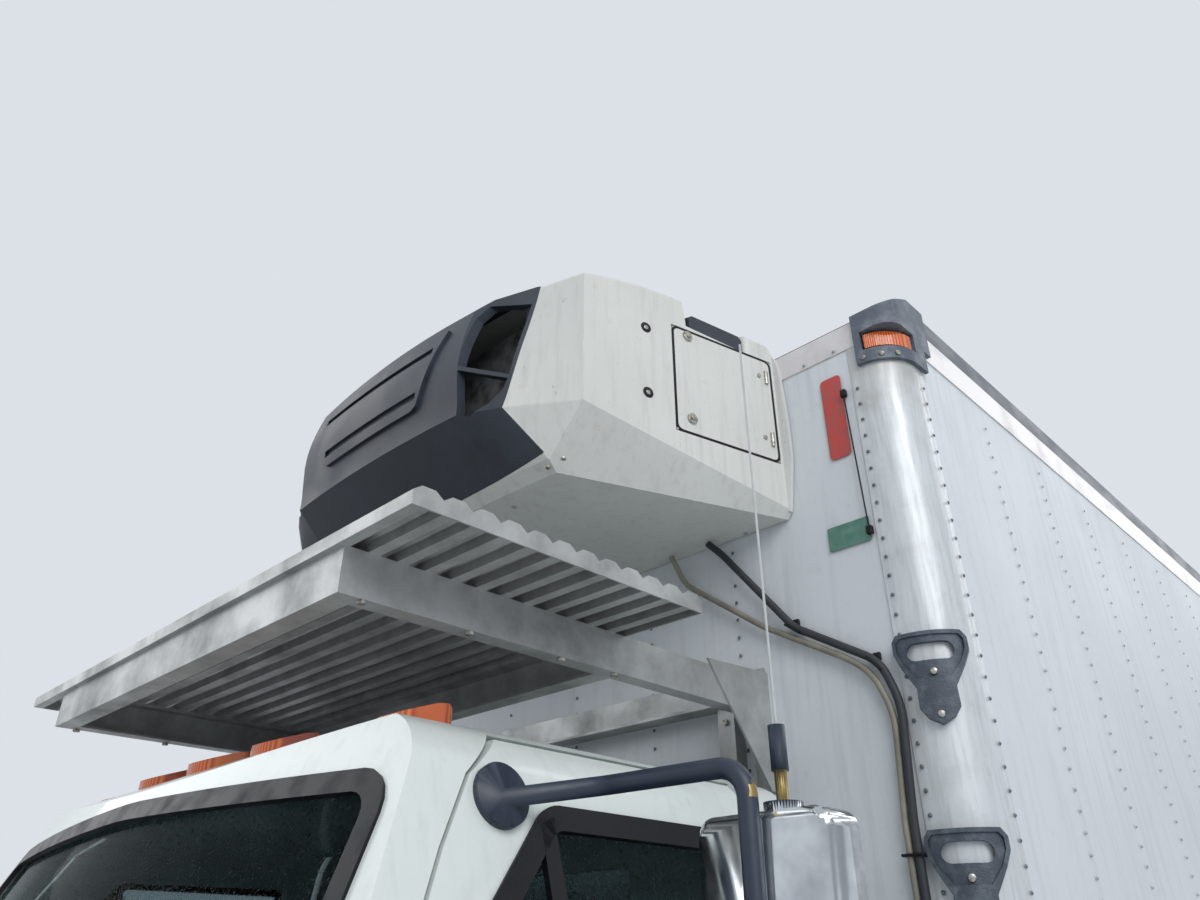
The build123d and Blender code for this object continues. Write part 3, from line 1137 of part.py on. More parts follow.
def knuckle():
    fork = block((KINGPIN_X - 46, 945), (-42, 42), (AXLE_Z + 59, AXLE_Z + 104))
    fork += block((KINGPIN_X - 46, 945), (-42, 42), (AXLE_Z - 104, AXLE_Z - 59))
    fork += block((930, 952), (-60, 60), (AXLE_Z - 104, AXLE_Z + 104))
    fork += rod_z(KINGPIN_X, 0, (AXLE_Z - 112, AXLE_Z + 112), KINGPIN_RADIUS)
    fork += rod_x((950, 1150), 0, AXLE_Z, 34)
    fork += rod_x((950, 958), 0, AXLE_Z, 200)
    fork += block((KINGPIN_X - 52, KINGPIN_X - 20), (30, ARM_END[1] + 20), (AXLE_Z - 104, AXLE_Z - 78))
    fork += rod_z(ARM_END[0], ARM_END[1], (AXLE_Z - 104, AXLE_Z - 78), 24)
    return Pos(0, FRONT_AXLE_Y, 0) * fork


knuckle_left = knuckle()
keep("knuckle_left", knuckle_left)
keep("knuckle_right", other_side(knuckle_left))

# Tie rod between the two steering arms
rod_ends = (-ARM_END[0], ARM_END[0])
tie_rod = rod_x((rod_ends[0] + 20, rod_ends[1] - 20), FRONT_AXLE_Y + ARM_END[1], AXLE_Z - 126, 15)
for end_x in rod_ends:
    tie_rod += rod_z(end_x, FRONT_AXLE_Y + ARM_END[1], (AXLE_Z - 144, AXLE_Z - 108), 26)
keep("tie_rod", tie_rod)

# Tyres and disc wheels


def tyre_ring():
    """Tyre: bulged side walls, chamfered shoulders and a flat tread."""
    half = TYRE_WIDTH / 2
    right = [
        (half - 39, BEAD_RADIUS), (half, (BEAD_RADIUS + TYRE_RADIUS) / 2 - 10),
        (half - 10, TYRE_RADIUS - 22), (half - 32, TYRE_RADIUS)]
    return turned(right + [(-a, r) for a, r in reversed(right)])


def disc_wheel():
    """Steel disc wheel: the mounting face stands out from the rim's centre."""
    face_x = DISC_OFFSET
    outline = [
        (-101, BEAD_RADIUS + 12), (-89, BEAD_RADIUS), (89, BEAD_RADIUS), (101, BEAD_RADIUS + 12),
        (104, BEAD_RADIUS - 12), (70, BEAD_RADIUS - 16), (90, 250), (face_x, 184), (face_x, 84),
        (face_x - 11, 84), (face_x - 11, 178), (72, 244), (48, BEAD_RADIUS - 16), (-104, BEAD_RADIUS - 12),
    ]
    wheel = turned(outline)
    for turn in range(5):
        angle = radians(72 * turn + 36)
        wheel -= Pos(100, 222 * cos(angle), 222 * sin(angle)) * Rot(0, 90, 0) * Cylinder(27, 200)
    return wheel


tyre = tyre_ring()
disc = disc_wheel()
front_hub = turned([
    (962 - FRONT_WHEEL_X, 198), (962 - FRONT_WHEEL_X, 212), (1100 - FRONT_WHEEL_X, 212),
    (1104 - FRONT_WHEEL_X, 186), (1165 - FRONT_WHEEL_X, 176), (DISC_OFFSET - 11.2, 176),
    (DISC_OFFSET - 11.2, 83), (DISC_OFFSET + 30, 83), (DISC_OFFSET + 52, 70), (DISC_OFFSET + 52, 0),
    (1152 - FRONT_WHEEL_X, 0), (1152 - FRONT_WHEEL_X, 34.4), (1060 - FRONT_WHEEL_X, 34.4),
    (1060 - FRONT_WHEEL_X, 120), (1090 - FRONT_WHEEL_X, 200)])
front_centre = Pos(FRONT_WHEEL_X, FRONT_AXLE_Y, AXLE_Z)
front_rim = front_centre * (disc + front_hub)
front_tyre = front_centre * tyre
keep("rim_front_left", front_rim)
keep("tyre_front_left", front_tyre)
keep("rim_front_right", other_side(front_rim))
keep("tyre_front_right", other_side(front_tyre))

rear_inner = Pos(REAR_INNER_X, REAR_AXLE_Y, AXLE_Z)
rear_outer = Pos(REAR_OUTER_X, REAR_AXLE_Y, AXLE_Z)
rear_hub = turned([
    (620, 206), (620, 222), (800, 222), (806, 190), (880, 176), (HUB_FACE_X - 11.2, 176),
    (HUB_FACE_X - 11.2, 83), (990, 83), (1090, 78), (1090, 0), (912, 0), (912, 44.6), (760, 44.6),
    (760, 120), (780, 206)])
rear_rims = rear_inner * disc + rear_outer * (Rot(0, 0, 180) * disc)
rear_rims += Pos(0, REAR_AXLE_Y, AXLE_Z) * rear_hub
rear_tyres = group(rear_inner * tyre, rear_outer * tyre)
keep("rims_rear_left", rear_rims)
keep("tyres_rear_left", rear_tyres)
keep("rims_rear_right", other_side(rear_rims))
keep("tyres_rear_right", other_side(rear_tyres))

# Mirrors: round base plate on the door, looped tube arm and two heads
ARM_RADIUS = 15
mirror_arm = tube_along(
    [(886, -1014, 2108), (1010, -900, 2127), (1269, -884, 2127), (1269, -884, 1490), (1040, -960, 1430)],
    (60, 45, 50), ARM_RADIUS)


def mirror_head(x, z, corner):
    """A mirror housing with rounded corners and a softened rim."""
    middle = Pos((x[0] + x[1]) / 2, (z[0] + z[1]) / 2)
    face = Plane.XZ * middle * RectangleRounded(x[1] - x[0], z[1] - z[0], corner)
    head = Pos(0, -873, 0) * extrude(face, 73, dir=(0, 1, 0))
    return chamfer(head.edges().group_by(Axis.Y)[0], 10)


mirror_piece = mirror_arm + mirror_head((1162, 1388), (1664, 2066), 28)
mirror_piece += mirror_head((1175, 1375), (1470, 1630), 24)
mirror_piece += Plane(origin=(872, -1016, 2106), z_dir=(0.96, 0, 0.28)) * Pos(0, 0, 14) * Cylinder(52, 28)
mirror_piece += block((1030, 1062), (-1000, -920), (1400, 1470))
mirror_piece -= cab_outer
keep("mirror_right", other_side(mirror_piece))

# Whip antenna on the left mirror head, as (low z, high z, radius) of each part
ANTENNA = [(2060, 2078, 28), (2076, 2122, 9), (2120, 2184, 12.5), (2182, 2870, 2)]
mirror_left = mirror_piece
for low, high, radius in ANTENNA:
    mirror_left += rod_z(1296, -838, (low, high), radius)
keep("mirror_left", mirror_left)

shift = Pos(0, -(FRONT_END + REAR_END) / 2, 0)
for name, piece in PIECES.items():
    export_step(shift * piece, "parts/" + name + ".step")
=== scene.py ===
import math
import bpy
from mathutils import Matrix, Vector


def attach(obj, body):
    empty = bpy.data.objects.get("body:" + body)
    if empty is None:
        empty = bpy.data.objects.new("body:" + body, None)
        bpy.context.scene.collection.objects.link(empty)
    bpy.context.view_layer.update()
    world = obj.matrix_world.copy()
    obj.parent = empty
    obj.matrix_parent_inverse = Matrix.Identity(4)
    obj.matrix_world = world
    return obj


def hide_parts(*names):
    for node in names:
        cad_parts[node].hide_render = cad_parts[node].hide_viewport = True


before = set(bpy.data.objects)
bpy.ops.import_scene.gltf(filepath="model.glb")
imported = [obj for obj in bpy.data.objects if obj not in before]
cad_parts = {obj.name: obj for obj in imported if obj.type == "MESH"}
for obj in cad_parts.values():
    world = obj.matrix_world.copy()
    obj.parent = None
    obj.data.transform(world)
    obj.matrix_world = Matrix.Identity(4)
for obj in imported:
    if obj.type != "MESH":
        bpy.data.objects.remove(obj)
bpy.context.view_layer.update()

# Viewpoint: a person beside the left-hand mirror looks up at the unit and along the box.
# The place and the angles are those of the photograph, with a 27 mm lens on a 36 mm frame.
EYE = (2.058, -3.635, 1.880)
EYE_TURN = 44.79
EYE_RISE = 29.79
EYE_LENS = 27.01
EYE_FILM = 36
EYE_REACH = (0.05, 400)

bpy.ops.object.select_all(action="DESELECT")
bpy.ops.object.camera_add(
    location=EYE, rotation=(math.radians(90 + EYE_RISE), 0, math.radians(EYE_TURN)))
eye = bpy.context.object
eye.data.lens = EYE_LENS
eye.data.sensor_width = EYE_FILM
eye.data.clip_start, eye.data.clip_end = EYE_REACH
bpy.context.scene.camera = eye
bpy.context.scene.view_settings.view_transform = "Standard"

# Daylight of a bright overcast yard: a pale world with three wide soft lamps above the truck.
# They are square sheets of light, high up, so that edges stay soft and whites stay under white.
WORLD_COLOUR = (0.80, 0.84, 0.90)
WORLD_STRENGTH = 0.55
# each row: place, half size, power
LAMPS = (
    ((9.0, -7.0, 9.0), 4.0, 800),
    ((-8.0, -6.0, 8.0), 4.0, 300),
    ((2.0, 9.0, 9.0), 4.0, 400),
)
LAMP_AIM = Vector((0, -1.5, 2.2))

world = bpy.data.worlds.new("overcast")
bpy.context.scene.world = world
world.use_nodes = True
world_tree = world.node_tree
world_light = world_tree.nodes["Background"]
world_light.inputs["Color"].default_value = (*WORLD_COLOUR, 1)
world_light.inputs["Strength"].default_value = WORLD_STRENGTH
for place, half, power in LAMPS:
    bpy.ops.object.light_add(type="AREA", location=place)
    lamp = bpy.context.object
    lamp.data.size = 2 * half
    lamp.data.energy = power
    lamp.rotation_euler = (LAMP_AIM - lamp.location).to_track_quat("-Z", "Y").to_euler()

# Ground and backdrop: a plain pale studio floor that runs far out, under a pale sky.
# The sky shows one tone to the camera and in reflections, and the floor keeps the shadow.
FLOOR_SIZE = 160
FLOOR_TONE = (226, 228, 230)
SKY_TONE = (220, 225, 231)
# distances over which the floor, past the reach of the lamps, is given back its own tone
FLOOR_LIT = 7
FLOOR_FAR = 24
FLOOR_GLOW = 0.4


class Value:
    """A shader socket that can be used in sums and products like a number."""

    def __init__(self, finish, socket):
        self.finish = finish
        self.socket = socket

    def maths(self, operation, *values):
        return self.finish.node("Math", {"operation": operation}, *values)

    def __add__(self, other):
        return self.maths("ADD", self, other)

    def __mul__(self, other):
        return self.maths("MULTIPLY", self, other)

    __radd__ = __add__
    __rmul__ = __mul__


def linear(colour):
    """A colour as seen on a screen, in steps of 0 to 255, as the shader's linear light."""
    steps = [c / 255 for c in colour]
    return (*[s / 12.92 if s < 0.04045 else ((s + 0.055) / 1.055) ** 2.4 for s in steps], 1.0)


class Finish:
    """One material: a principled surface whose colour, roughness and relief vary with the place."""

    def __init__(self, name, colour, roughness, metallic=0.0, coat=0.0):
        self.material = bpy.data.materials.new(name)
        self.material.use_nodes = True
        self.tree = self.material.node_tree
        self.surface = self.tree.nodes["Principled BSDF"]
        self.set("Base Color", linear(colour))
        self.set("Roughness", roughness)
        self.set("Metallic", metallic)
        self.set("Coat Weight", coat)
        place = self.tree.nodes.new("ShaderNodeTexCoord")
        self.place = Value(self, place.outputs["Object"])
        self.z = self.node("SeparateXYZ", {}, self.place, every=True)[2]

    def node(self, kind, settings, *values, every=False, **named):
        """A node of one kind with its settings and its sockets, by order or by name."""
        made = self.tree.nodes.new("ShaderNode" + kind)
        for setting, choice in settings.items():
            setattr(made, setting, choice)
        pairs = list(zip(made.inputs, values))
        pairs += [(made.inputs[label.replace("_", " ")], value) for label, value in named.items()]
        for socket, value in pairs:
            self.feed(socket, value)
        outputs = [Value(self, output) for output in made.outputs]
        return outputs if every else outputs[0]

    def feed(self, socket, value):
        """Links a socket or gives it a constant."""
        if isinstance(value, Value):
            self.tree.links.new(value.socket, socket)
        else:
            socket.default_value = value

    def set(self, socket, value):
        self.feed(self.surface.inputs[socket], value)

    def stretched(self, x, y, z):
        """The place, scaled along each axis, for a pattern that runs in one direction."""
        return self.node("Mapping", {}, self.place, Scale=(x, y, z))

    def noise(self, scale, detail=2.0, roughness=0.5, at=None):
        return self.node(
            "TexNoise", {}, Vector=at or self.place, Scale=scale, Detail=detail, Roughness=roughness)

    def ramp(self, value, low, high):
        """0 at the low value and 1 at the high one, with an even slope between."""
        return self.node("MapRange", {"clamp": True}, value, low, high, 0.0, 1.0)

    def mix(self, mask, first, second):
        """A colour that goes from the first to the second with the mask."""
        made = self.tree.nodes.new("ShaderNodeMix")
        made.data_type = "RGBA"
        for socket, value in ((made.inputs[0], mask), (made.inputs[6], first), (made.inputs[7], second)):
            self.feed(socket, value)
        return Value(self, made.outputs[2])

    def tones(self, mask, first, second):
        """Base colour between two screen colours."""
        self.set("Base Color", self.mix(mask, linear(first), linear(second)))

    def relief(self, height, depth, strength=1.0):
        """Bump of a height pattern, its depth in metres."""
        self.set("Normal", self.node("Bump", {}, Strength=strength, Distance=depth, Height=height))


bpy.ops.mesh.primitive_plane_add(size=FLOOR_SIZE, location=(0, 0, 0))
floor = bpy.context.object
floor.name = "studio_floor"
floor_finish = Finish("studio_floor", FLOOR_TONE, 0.9)
floor.data.materials.append(floor_finish.material)
distance = floor_finish.node("VectorMath", {"operation": "LENGTH"}, floor_finish.place, every=True)[1]
far = floor_finish.ramp(distance, FLOOR_LIT, FLOOR_FAR)
camera_ray = floor_finish.node("LightPath", {})
floor_finish.set("Emission Color", floor_finish.mix(far * camera_ray, (0, 0, 0, 1), linear(FLOOR_TONE)))
floor_finish.set("Emission Strength", FLOOR_GLOW)

sky_paths = world_tree.nodes.new("ShaderNodeLightPath")
sky_tone = world_tree.nodes.new("ShaderNodeBackground")
sky_tone.inputs["Color"].default_value = linear(SKY_TONE)
sky_mix = world_tree.nodes.new("ShaderNodeMixShader")
sky_seen = sky_paths.outputs["Is Camera Ray"]
for ray in ("Is Glossy Ray", "Is Transmission Ray"):
    either = world_tree.nodes.new("ShaderNodeMath")
    either.operation = "MAXIMUM"
    world_tree.links.new(sky_seen, either.inputs[0])
    world_tree.links.new(sky_paths.outputs[ray], either.inputs[1])
    sky_seen = either.outputs[0]
world_tree.links.new(sky_seen, sky_mix.inputs[0])
world_tree.links.new(world_light.outputs[0], sky_mix.inputs[1])
world_tree.links.new(sky_tone.outputs[0], sky_mix.inputs[2])
world_tree.links.new(sky_mix.outputs[0], world_tree.nodes["World Output"].inputs["Surface"])

# Chassis: pressed channel rails, forged axles, leaf springs and shafts, bolted and welded together.
# All of it is steel under black enamel, greyed by road dust.


def dress(finish, *nodes):
    """Gives CAD nodes a finish in place of the plain one that they come with."""
    for node in nodes:
        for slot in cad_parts[node].material_slots:
            slot.material = finish.material


chassis = Finish("chassis_black", (34, 35, 37), 0.55)
dust = chassis.ramp(chassis.noise(9, 5), 0.45, 0.75)
chassis.tones(dust * 0.7, (30, 31, 33), (96, 90, 82))
chassis.set("Roughness", 0.5 + dust * 0.35)
chassis.relief(chassis.noise(240, 3), 0.001)
dress(chassis, "frame", "front_axle", "rear_axle", "driveshaft", "knuckle_left", "knuckle_right",
      "tie_rod", "rear_guard", "leaf_springs")

# Bolts of the frame: zinc hexagon heads through the webs of both rails, in pairs.
# One head is pressed, its edge rounded, and the row is stepped along the rail.
# the front wall of the box stands this far in front of the truck's middle
BOX_FRONT = 1.665
BOLT_X = 432
BOLT_Y = -2335
BOLT_HEIGHTS = (735, 865)
BOLT_PITCH = 0.46
BOLT_COUNT = 18
# each head or pin: radius, height, number of sides, width of its rounded rim
BOLT_HEAD = (0.013, 0.009, 6, 0.0015)


def spot(x, y, z):
    """A place given in millimetres, with y counted from the front wall of the box, in metres."""
    return Vector((x / 1000, y / 1000 - BOX_FRONT, z / 1000))


def only(*pieces):
    """Selects these pieces and nothing else, the first of them active."""
    bpy.ops.object.select_all(action="DESELECT")
    for piece in pieces:
        piece.select_set(True)
    bpy.context.view_layer.objects.active = pieces[0]
    return pieces[0]


def settled(piece):
    """Puts the piece's place, turn and size into its mesh."""
    only(piece)
    bpy.ops.object.transform_apply(location=True, rotation=True, scale=True)
    return piece


def modified(piece, kind, **settings):
    """Adds a modifier with its settings and applies it."""
    only(piece)
    bpy.ops.object.modifier_add(type=kind)
    modifier = piece.modifiers[-1]
    for setting, choice in settings.items():
        setattr(modifier, setting, choice)
    bpy.ops.object.modifier_apply(modifier=modifier.name)
    return piece


def stepped(piece, count, x=0.0, y=0.0, z=0.0):
    """A row of copies of the piece, each moved on by the same step."""
    return modified(
        piece, "ARRAY", count=count, use_relative_offset=False, use_constant_offset=True,
        constant_offset_displace=(x, y, z))


def chosen(piece, test, kind="EDGE"):
    """Goes into edit mode with the edges or faces that pass the test selected."""
    only(piece)
    bpy.ops.object.mode_set(mode="EDIT")
    bpy.ops.mesh.select_mode(type=kind)
    bpy.ops.mesh.select_all(action="DESELECT")
    bpy.ops.object.mode_set(mode="OBJECT")
    points = piece.data.vertices
    if kind == "EDGE":
        for edge in piece.data.edges:
            edge.select = test(*(points[index].co for index in edge.vertices))
    else:
        for face in piece.data.polygons:
            face.select = test(face.center, face.normal)
    bpy.ops.object.mode_set(mode="EDIT")


def rounded(piece, test, radius, segments=4):
    """Rounds the edges that pass the test."""
    chosen(piece, test)
    bpy.ops.mesh.bevel(offset=radius, segments=segments, profile=0.5)
    bpy.ops.object.mode_set(mode="OBJECT")
    return piece


def pin(place, towards, radius, height, sides, rim=0.0):
    """A round or many-sided pin that starts at a place and stands out in a direction."""
    out = Vector(towards).normalized()
    bpy.ops.object.select_all(action="DESELECT")
    bpy.ops.mesh.primitive_cylinder_add(
        vertices=sides, radius=radius, depth=height, location=place + out * height / 2,
        rotation=out.to_track_quat("Z", "Y").to_euler())
    piece = settled(bpy.context.object)
    if rim:
        top = 0.9 * height
        rounded(piece, lambda a, b: min((a - place).dot(out), (b - place).dot(out)) > top, rim, 2)
    return piece


def joined(*pieces):
    """One piece made of several."""
    only(*pieces)
    bpy.ops.object.join()
    return bpy.context.object


def outward(piece):
    """Turns all faces of the piece outwards."""
    only(piece)
    bpy.ops.object.mode_set(mode="EDIT")
    bpy.ops.mesh.select_all(action="SELECT")
    bpy.ops.mesh.normals_make_consistent(inside=False)
    bpy.ops.object.mode_set(mode="OBJECT")
    return piece


def twin(piece):
    """The mirror image on the other side of the truck, with its own mesh."""
    only(piece)
    bpy.ops.object.duplicate()
    copy = bpy.context.object
    copy.scale.x = -1
    return outward(settled(copy))


def both(piece):
    """The piece joined with its mirror image."""
    return joined(piece, twin(piece))


def finished(piece, name, finish, body="chassis", smooth=30):
    """Names a piece, gives it its finish, and lets it ride on its body."""
    piece.name = name
    piece.data.materials.clear()
    piece.data.materials.append(finish.material)
    only(piece)
    bpy.ops.object.shade_smooth_by_angle(angle=math.radians(smooth))
    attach(piece, body)
    return piece


zinc = Finish("zinc_bolts", (150, 150, 146), 0.45, metallic=0.8)
zinc.tones(zinc.ramp(zinc.noise(90, 4), 0.4, 0.7), (160, 160, 156), (92, 86, 78))
zinc.set("Roughness", 0.35 + zinc.noise(120, 2) * 0.3)
bolt_rows = []
for bolt_z in BOLT_HEIGHTS:
    head = pin(spot(BOLT_X, BOLT_Y, bolt_z), (1, 0, 0), *BOLT_HEAD)
    bolt_rows.append(stepped(head, BOLT_COUNT, y=BOLT_PITCH))
finished(both(joined(*bolt_rows)), "frame_bolts", zinc)

# Bumper: one pressed steel channel with swept ends, bolted to the front of the rails.
# It is painted light grey, and stones have chipped it.
bumper_steel = Finish("bumper_steel", (150, 153, 157), 0.35, metallic=0.6)
bumper_steel.tones(
    bumper_steel.ramp(bumper_steel.noise(60, 4), 0.62, 0.68), (172, 175, 178), (92, 88, 84))
bumper_steel.set("Roughness", 0.3 + bumper_steel.noise(8, 4) * 0.25)
dress(bumper_steel, "bumper")

# Engine, gearbox and radiator: cast iron and aluminium, hung on rubber mounts between the rails.
# A film of oily dust lies over them.
engine_grey = Finish("engine_grey", (86, 90, 94), 0.6, metallic=0.3)
engine_grey.tones(engine_grey.ramp(engine_grey.noise(14, 6), 0.4, 0.7), (98, 102, 106), (52, 50, 48))
engine_grey.relief(engine_grey.noise(160, 4), 0.002)
dress(engine_grey, "engine")

# Tanks, battery box and steps: rolled and folded aluminium sheet, strapped to the rails.
# The metal is brushed, with road film towards the bottom.
tank_metal = Finish("tank_aluminium", (186, 189, 192), 0.34, metallic=0.85)
brushed = tank_metal.noise(30, 3, at=tank_metal.stretched(40, 1.2, 40))
film = tank_metal.ramp(tank_metal.z + tank_metal.noise(6, 4) * 0.3, 0.95, 0.45)
tank_metal.tones(film * 0.6, (190, 193, 196), (128, 122, 114))
tank_metal.set("Roughness", 0.24 + brushed * 0.2 + film * 0.2)
dress(tank_metal, "tanks", "battery_box")

# Exhaust: aluminised steel tube, bent and welded to a muffler that hangs on two straps.
# Heat and road salt have stained it.
exhaust_steel = Finish("exhaust_steel", (128, 122, 114), 0.5, metallic=0.7)
rust = exhaust_steel.ramp(exhaust_steel.noise(22, 6, 0.6), 0.48, 0.66)
exhaust_steel.tones(rust, (138, 134, 128), (98, 66, 46))
exhaust_steel.set("Roughness", 0.4 + rust * 0.4)
dress(exhaust_steel, "exhaust")

# Cab, doors and hood: white enamel with a faint green-grey cast, clear coat and a soft orange peel.
# Rain has run down it in grey streaks, and the lower edges carry road dirt.
cab_paint = Finish("cab_paint", (218, 226, 222), 0.32, coat=0.5)
haze = cab_paint.noise(3, 5, 0.6)
runs = cab_paint.ramp(cab_paint.noise(5, 4, at=cab_paint.stretched(9, 9, 0.8)), 0.52, 0.8)
low_dirt = cab_paint.ramp(cab_paint.z + haze * 0.5, 1.55, 0.95)
worn = cab_paint.mix(haze, linear((222, 230, 227)), linear((210, 217, 213)))
worn = cab_paint.mix(runs * 0.22, worn, linear((160, 164, 158)))
cab_paint.set("Base Color", cab_paint.mix(low_dirt * 0.35, worn, linear((150, 143, 132))))
cab_paint.set("Roughness", 0.26 + haze * 0.12 + low_dirt * 0.25)
cab_paint.relief(cab_paint.noise(130, 2), 0.0004)
dress(cab_paint, "cab_shell", "door_left", "door_right", "hood")

# Windscreen, door glass and back light: tinted safety glass, held by rubber channel.
# Rain has dried on it in small spots.
glass = Finish("glass", (26, 32, 34), 0.04)
spots = glass.ramp(glass.noise(180, 2), 0.6, 0.66)
glass.set("Roughness", 0.03 + spots * 0.3)
glass.set("Transmission Weight", 1.0)
glass.set("IOR", 1.02)
glass.tones(spots * 0.4, (150, 164, 166), (214, 216, 214))
dress(glass, "cab_glass", "door_glass_left", "door_glass_right")

# Rubber seals round the windscreen and the door windows: black moulded channel, laid on the bodywork.
# Each is a ring between an outline and its inset, bent onto the surface and given its thickness.
CAB_HALF = 1045
SCREEN_TOP = 2182
SCREEN_RAKE = 0.45
SCREEN_FRONT = 1245
SCREEN_BOW = 115
SCREEN_ROUND = (CAB_HALF ** 2 + SCREEN_BOW ** 2) / (2 * SCREEN_BOW)
SCREEN_SEAL = ((-918, 1676), (918, 1676), (860, 2138), (0, 2166), (-860, 2138))
SCREEN_SEAL_WIDTH = 0.036
SCREEN_SEAL_CORNER = 0.07
SEAL_THICKNESS = 0.012
# edges of an outline over this length are divided, so that they bend with the bodywork
SEAL_STRAIGHT = 0.12
SEAL_CUTS = 10
DOOR_BELT = 1560
DOOR_LEAN = 165 / 574
DOOR_SEAL = ((-404, 1700), (-404, 2108), (-923, 2108), (-1207, 1790), (-1207, 1700))
DOOR_SEAL_WIDTH = 0.040
DOOR_SEAL_CORNER = 0.03
DIVIDER = ((-908, 1712), (-908, 2090), (-940, 2074), (-940, 1712))


def plate(corners):
    """A flat face between corners that are given in order."""
    bpy.ops.object.select_all(action="DESELECT")
    bpy.ops.mesh.primitive_circle_add(vertices=len(corners), fill_type="NGON")
    piece = bpy.context.object
    for point, corner in zip(piece.data.vertices, corners):
        point.co = corner
    return piece


def round_corners(piece, radius, segments=5):
    """Rounds all corners of a flat face."""
    chosen(piece, lambda a, b: True)
    bpy.ops.mesh.bevel(offset=radius, segments=segments, affect="VERTICES")
    bpy.ops.object.mode_set(mode="OBJECT")
    return piece


def ring(piece, width):
    """Leaves only a rim of this width along the outline of a flat face."""
    chosen(piece, lambda centre, normal: True, "FACE")
    bpy.ops.mesh.inset(thickness=width)
    bpy.ops.mesh.delete(type="FACE")
    bpy.ops.object.mode_set(mode="OBJECT")
    return piece


def laid(piece, surface):
    """Divides the long edges of a flat piece and moves its points onto a surface."""
    chosen(piece, lambda a, b: (a - b).length > SEAL_STRAIGHT)
    bpy.ops.mesh.subdivide(number_cuts=SEAL_CUTS)
    bpy.ops.object.mode_set(mode="OBJECT")
    for point in piece.data.vertices:
        point.co = surface(point.co)
    return piece


def screen_surface(point):
    """The windscreen's surface, raked back and bowed."""
    x, z = point.x * 1000, point.z * 1000
    bow = SCREEN_ROUND - math.sqrt(SCREEN_ROUND ** 2 - x * x)
    y = bow - SCREEN_FRONT - SCREEN_RAKE * (SCREEN_TOP - z)
    return spot(x, y, z)


def door_surface(point):
    """The outside of the left door, which leans in above its belt line."""
    half = CAB_HALF - (point.z * 1000 - DOOR_BELT) * DOOR_LEAN
    return Vector((half / 1000, point.y, point.z))


seal_rubber = Finish("seal_rubber", (24, 27, 31), 0.5)
chalked = seal_rubber.ramp(seal_rubber.noise(16, 5), 0.45, 0.8)
seal_rubber.tones(chalked, (12, 14, 18), (30, 33, 37))
seal_rubber.set("Specular IOR Level", 0.25)
seal_rubber.set("Roughness", 0.42 + chalked * 0.3)
seal_rubber.relief(seal_rubber.noise(420, 2), 0.0004)
screen_seal = plate([spot(x, 0, z) for x, z in SCREEN_SEAL])
screen_seal = ring(round_corners(screen_seal, SCREEN_SEAL_CORNER), SCREEN_SEAL_WIDTH)
screen_seal = laid(screen_seal, screen_surface)
modified(screen_seal, "SOLIDIFY", thickness=SEAL_THICKNESS, offset=0)
finished(outward(screen_seal), "windscreen_seal", seal_rubber)
door_seal = plate([spot(0, y, z) for y, z in DOOR_SEAL])
door_seal = ring(round_corners(door_seal, DOOR_SEAL_CORNER), DOOR_SEAL_WIDTH)
divider = plate([spot(0, y, z) for y, z in DIVIDER])
door_seal = joined(laid(door_seal, door_surface), laid(divider, door_surface))
modified(door_seal, "SOLIDIFY", thickness=SEAL_THICKNESS, offset=0)
outward(door_seal)
finished(twin(door_seal), "door_seal_right", seal_rubber, "cab_door_right")
finished(door_seal, "door_seal_left", seal_rubber, "cab_door_left")

# Dashboard, column and steering wheel: dark plastic, moulded over a steel frame.
# The skin has a fine grain and is rubbed paler in places.
dash_plastic = Finish("dash_plastic", (52, 54, 56), 0.6)
dash_plastic.tones(dash_plastic.noise(40, 4), (46, 48, 50), (62, 64, 66))
dash_plastic.relief(dash_plastic.noise(700, 2), 0.0006)
dress(dash_plastic, "dashboard")

# Headlamps: clear moulded lenses over a bright bowl, let into the corners of the hood.
# Upright flutes in the lens spread the light.
lamp_glass = Finish("lamp_glass", (214, 218, 220), 0.08, coat=0.6)
flutes = lamp_glass.node("TexWave", {"bands_direction": "X"}, Vector=lamp_glass.place, Scale=22)
lamp_glass.tones(flutes, (226, 229, 231), (150, 156, 162))
lamp_glass.set("Metallic", flutes * 0.5)
lamp_glass.relief(flutes, 0.004)
dress(lamp_glass, "headlamps")

# Hood grille: a moulded frame with sloping bars in the nose, in dark plastic.
# Stones have chipped it grey in spots.
grille_dark = Finish("grille_dark", (46, 48, 50), 0.5)
grille_dark.tones(grille_dark.ramp(grille_dark.noise(50, 5), 0.55, 0.75), (40, 42, 44), (84, 84, 82))
grille_dark.relief(grille_dark.noise(380, 2), 0.0005)
dress(grille_dark, "hood_grille")

# Seats: a foam cushion and back under woven grey cloth, on a black moulded base, for two people.
# One cushion and one back are blown up as cloth, get their two sewn channels, and are copied across.
SEAT_X = 480
SEAT_VOXEL = 0.006
SEAT_PRESSURE = 4
SEAT_SWELL = 0.024
SEAT_FRAMES = 20
PAD_EDGE = 0.025
CHANNEL_PLACES = (-0.1, 0.1)
CHANNEL_HALF = 0.013
CHANNEL_DEPTH = 0.009
# each row: name, middle, size, lean in degrees
SEAT_PADS = (
    ("seat_cushion", (SEAT_X, -640, 1313), (0.448, 0.446, 0.082), 0),
    ("seat_back", (SEAT_X, -318, 1640), (0.430, 0.078, 0.580), -6.5),
)
SEAT_BASE = (SEAT_X, -600, 1202)
SEAT_BASE_SIZE = (0.42, 0.4, 0.09)
SEAT_BASE_EDGE = 0.015


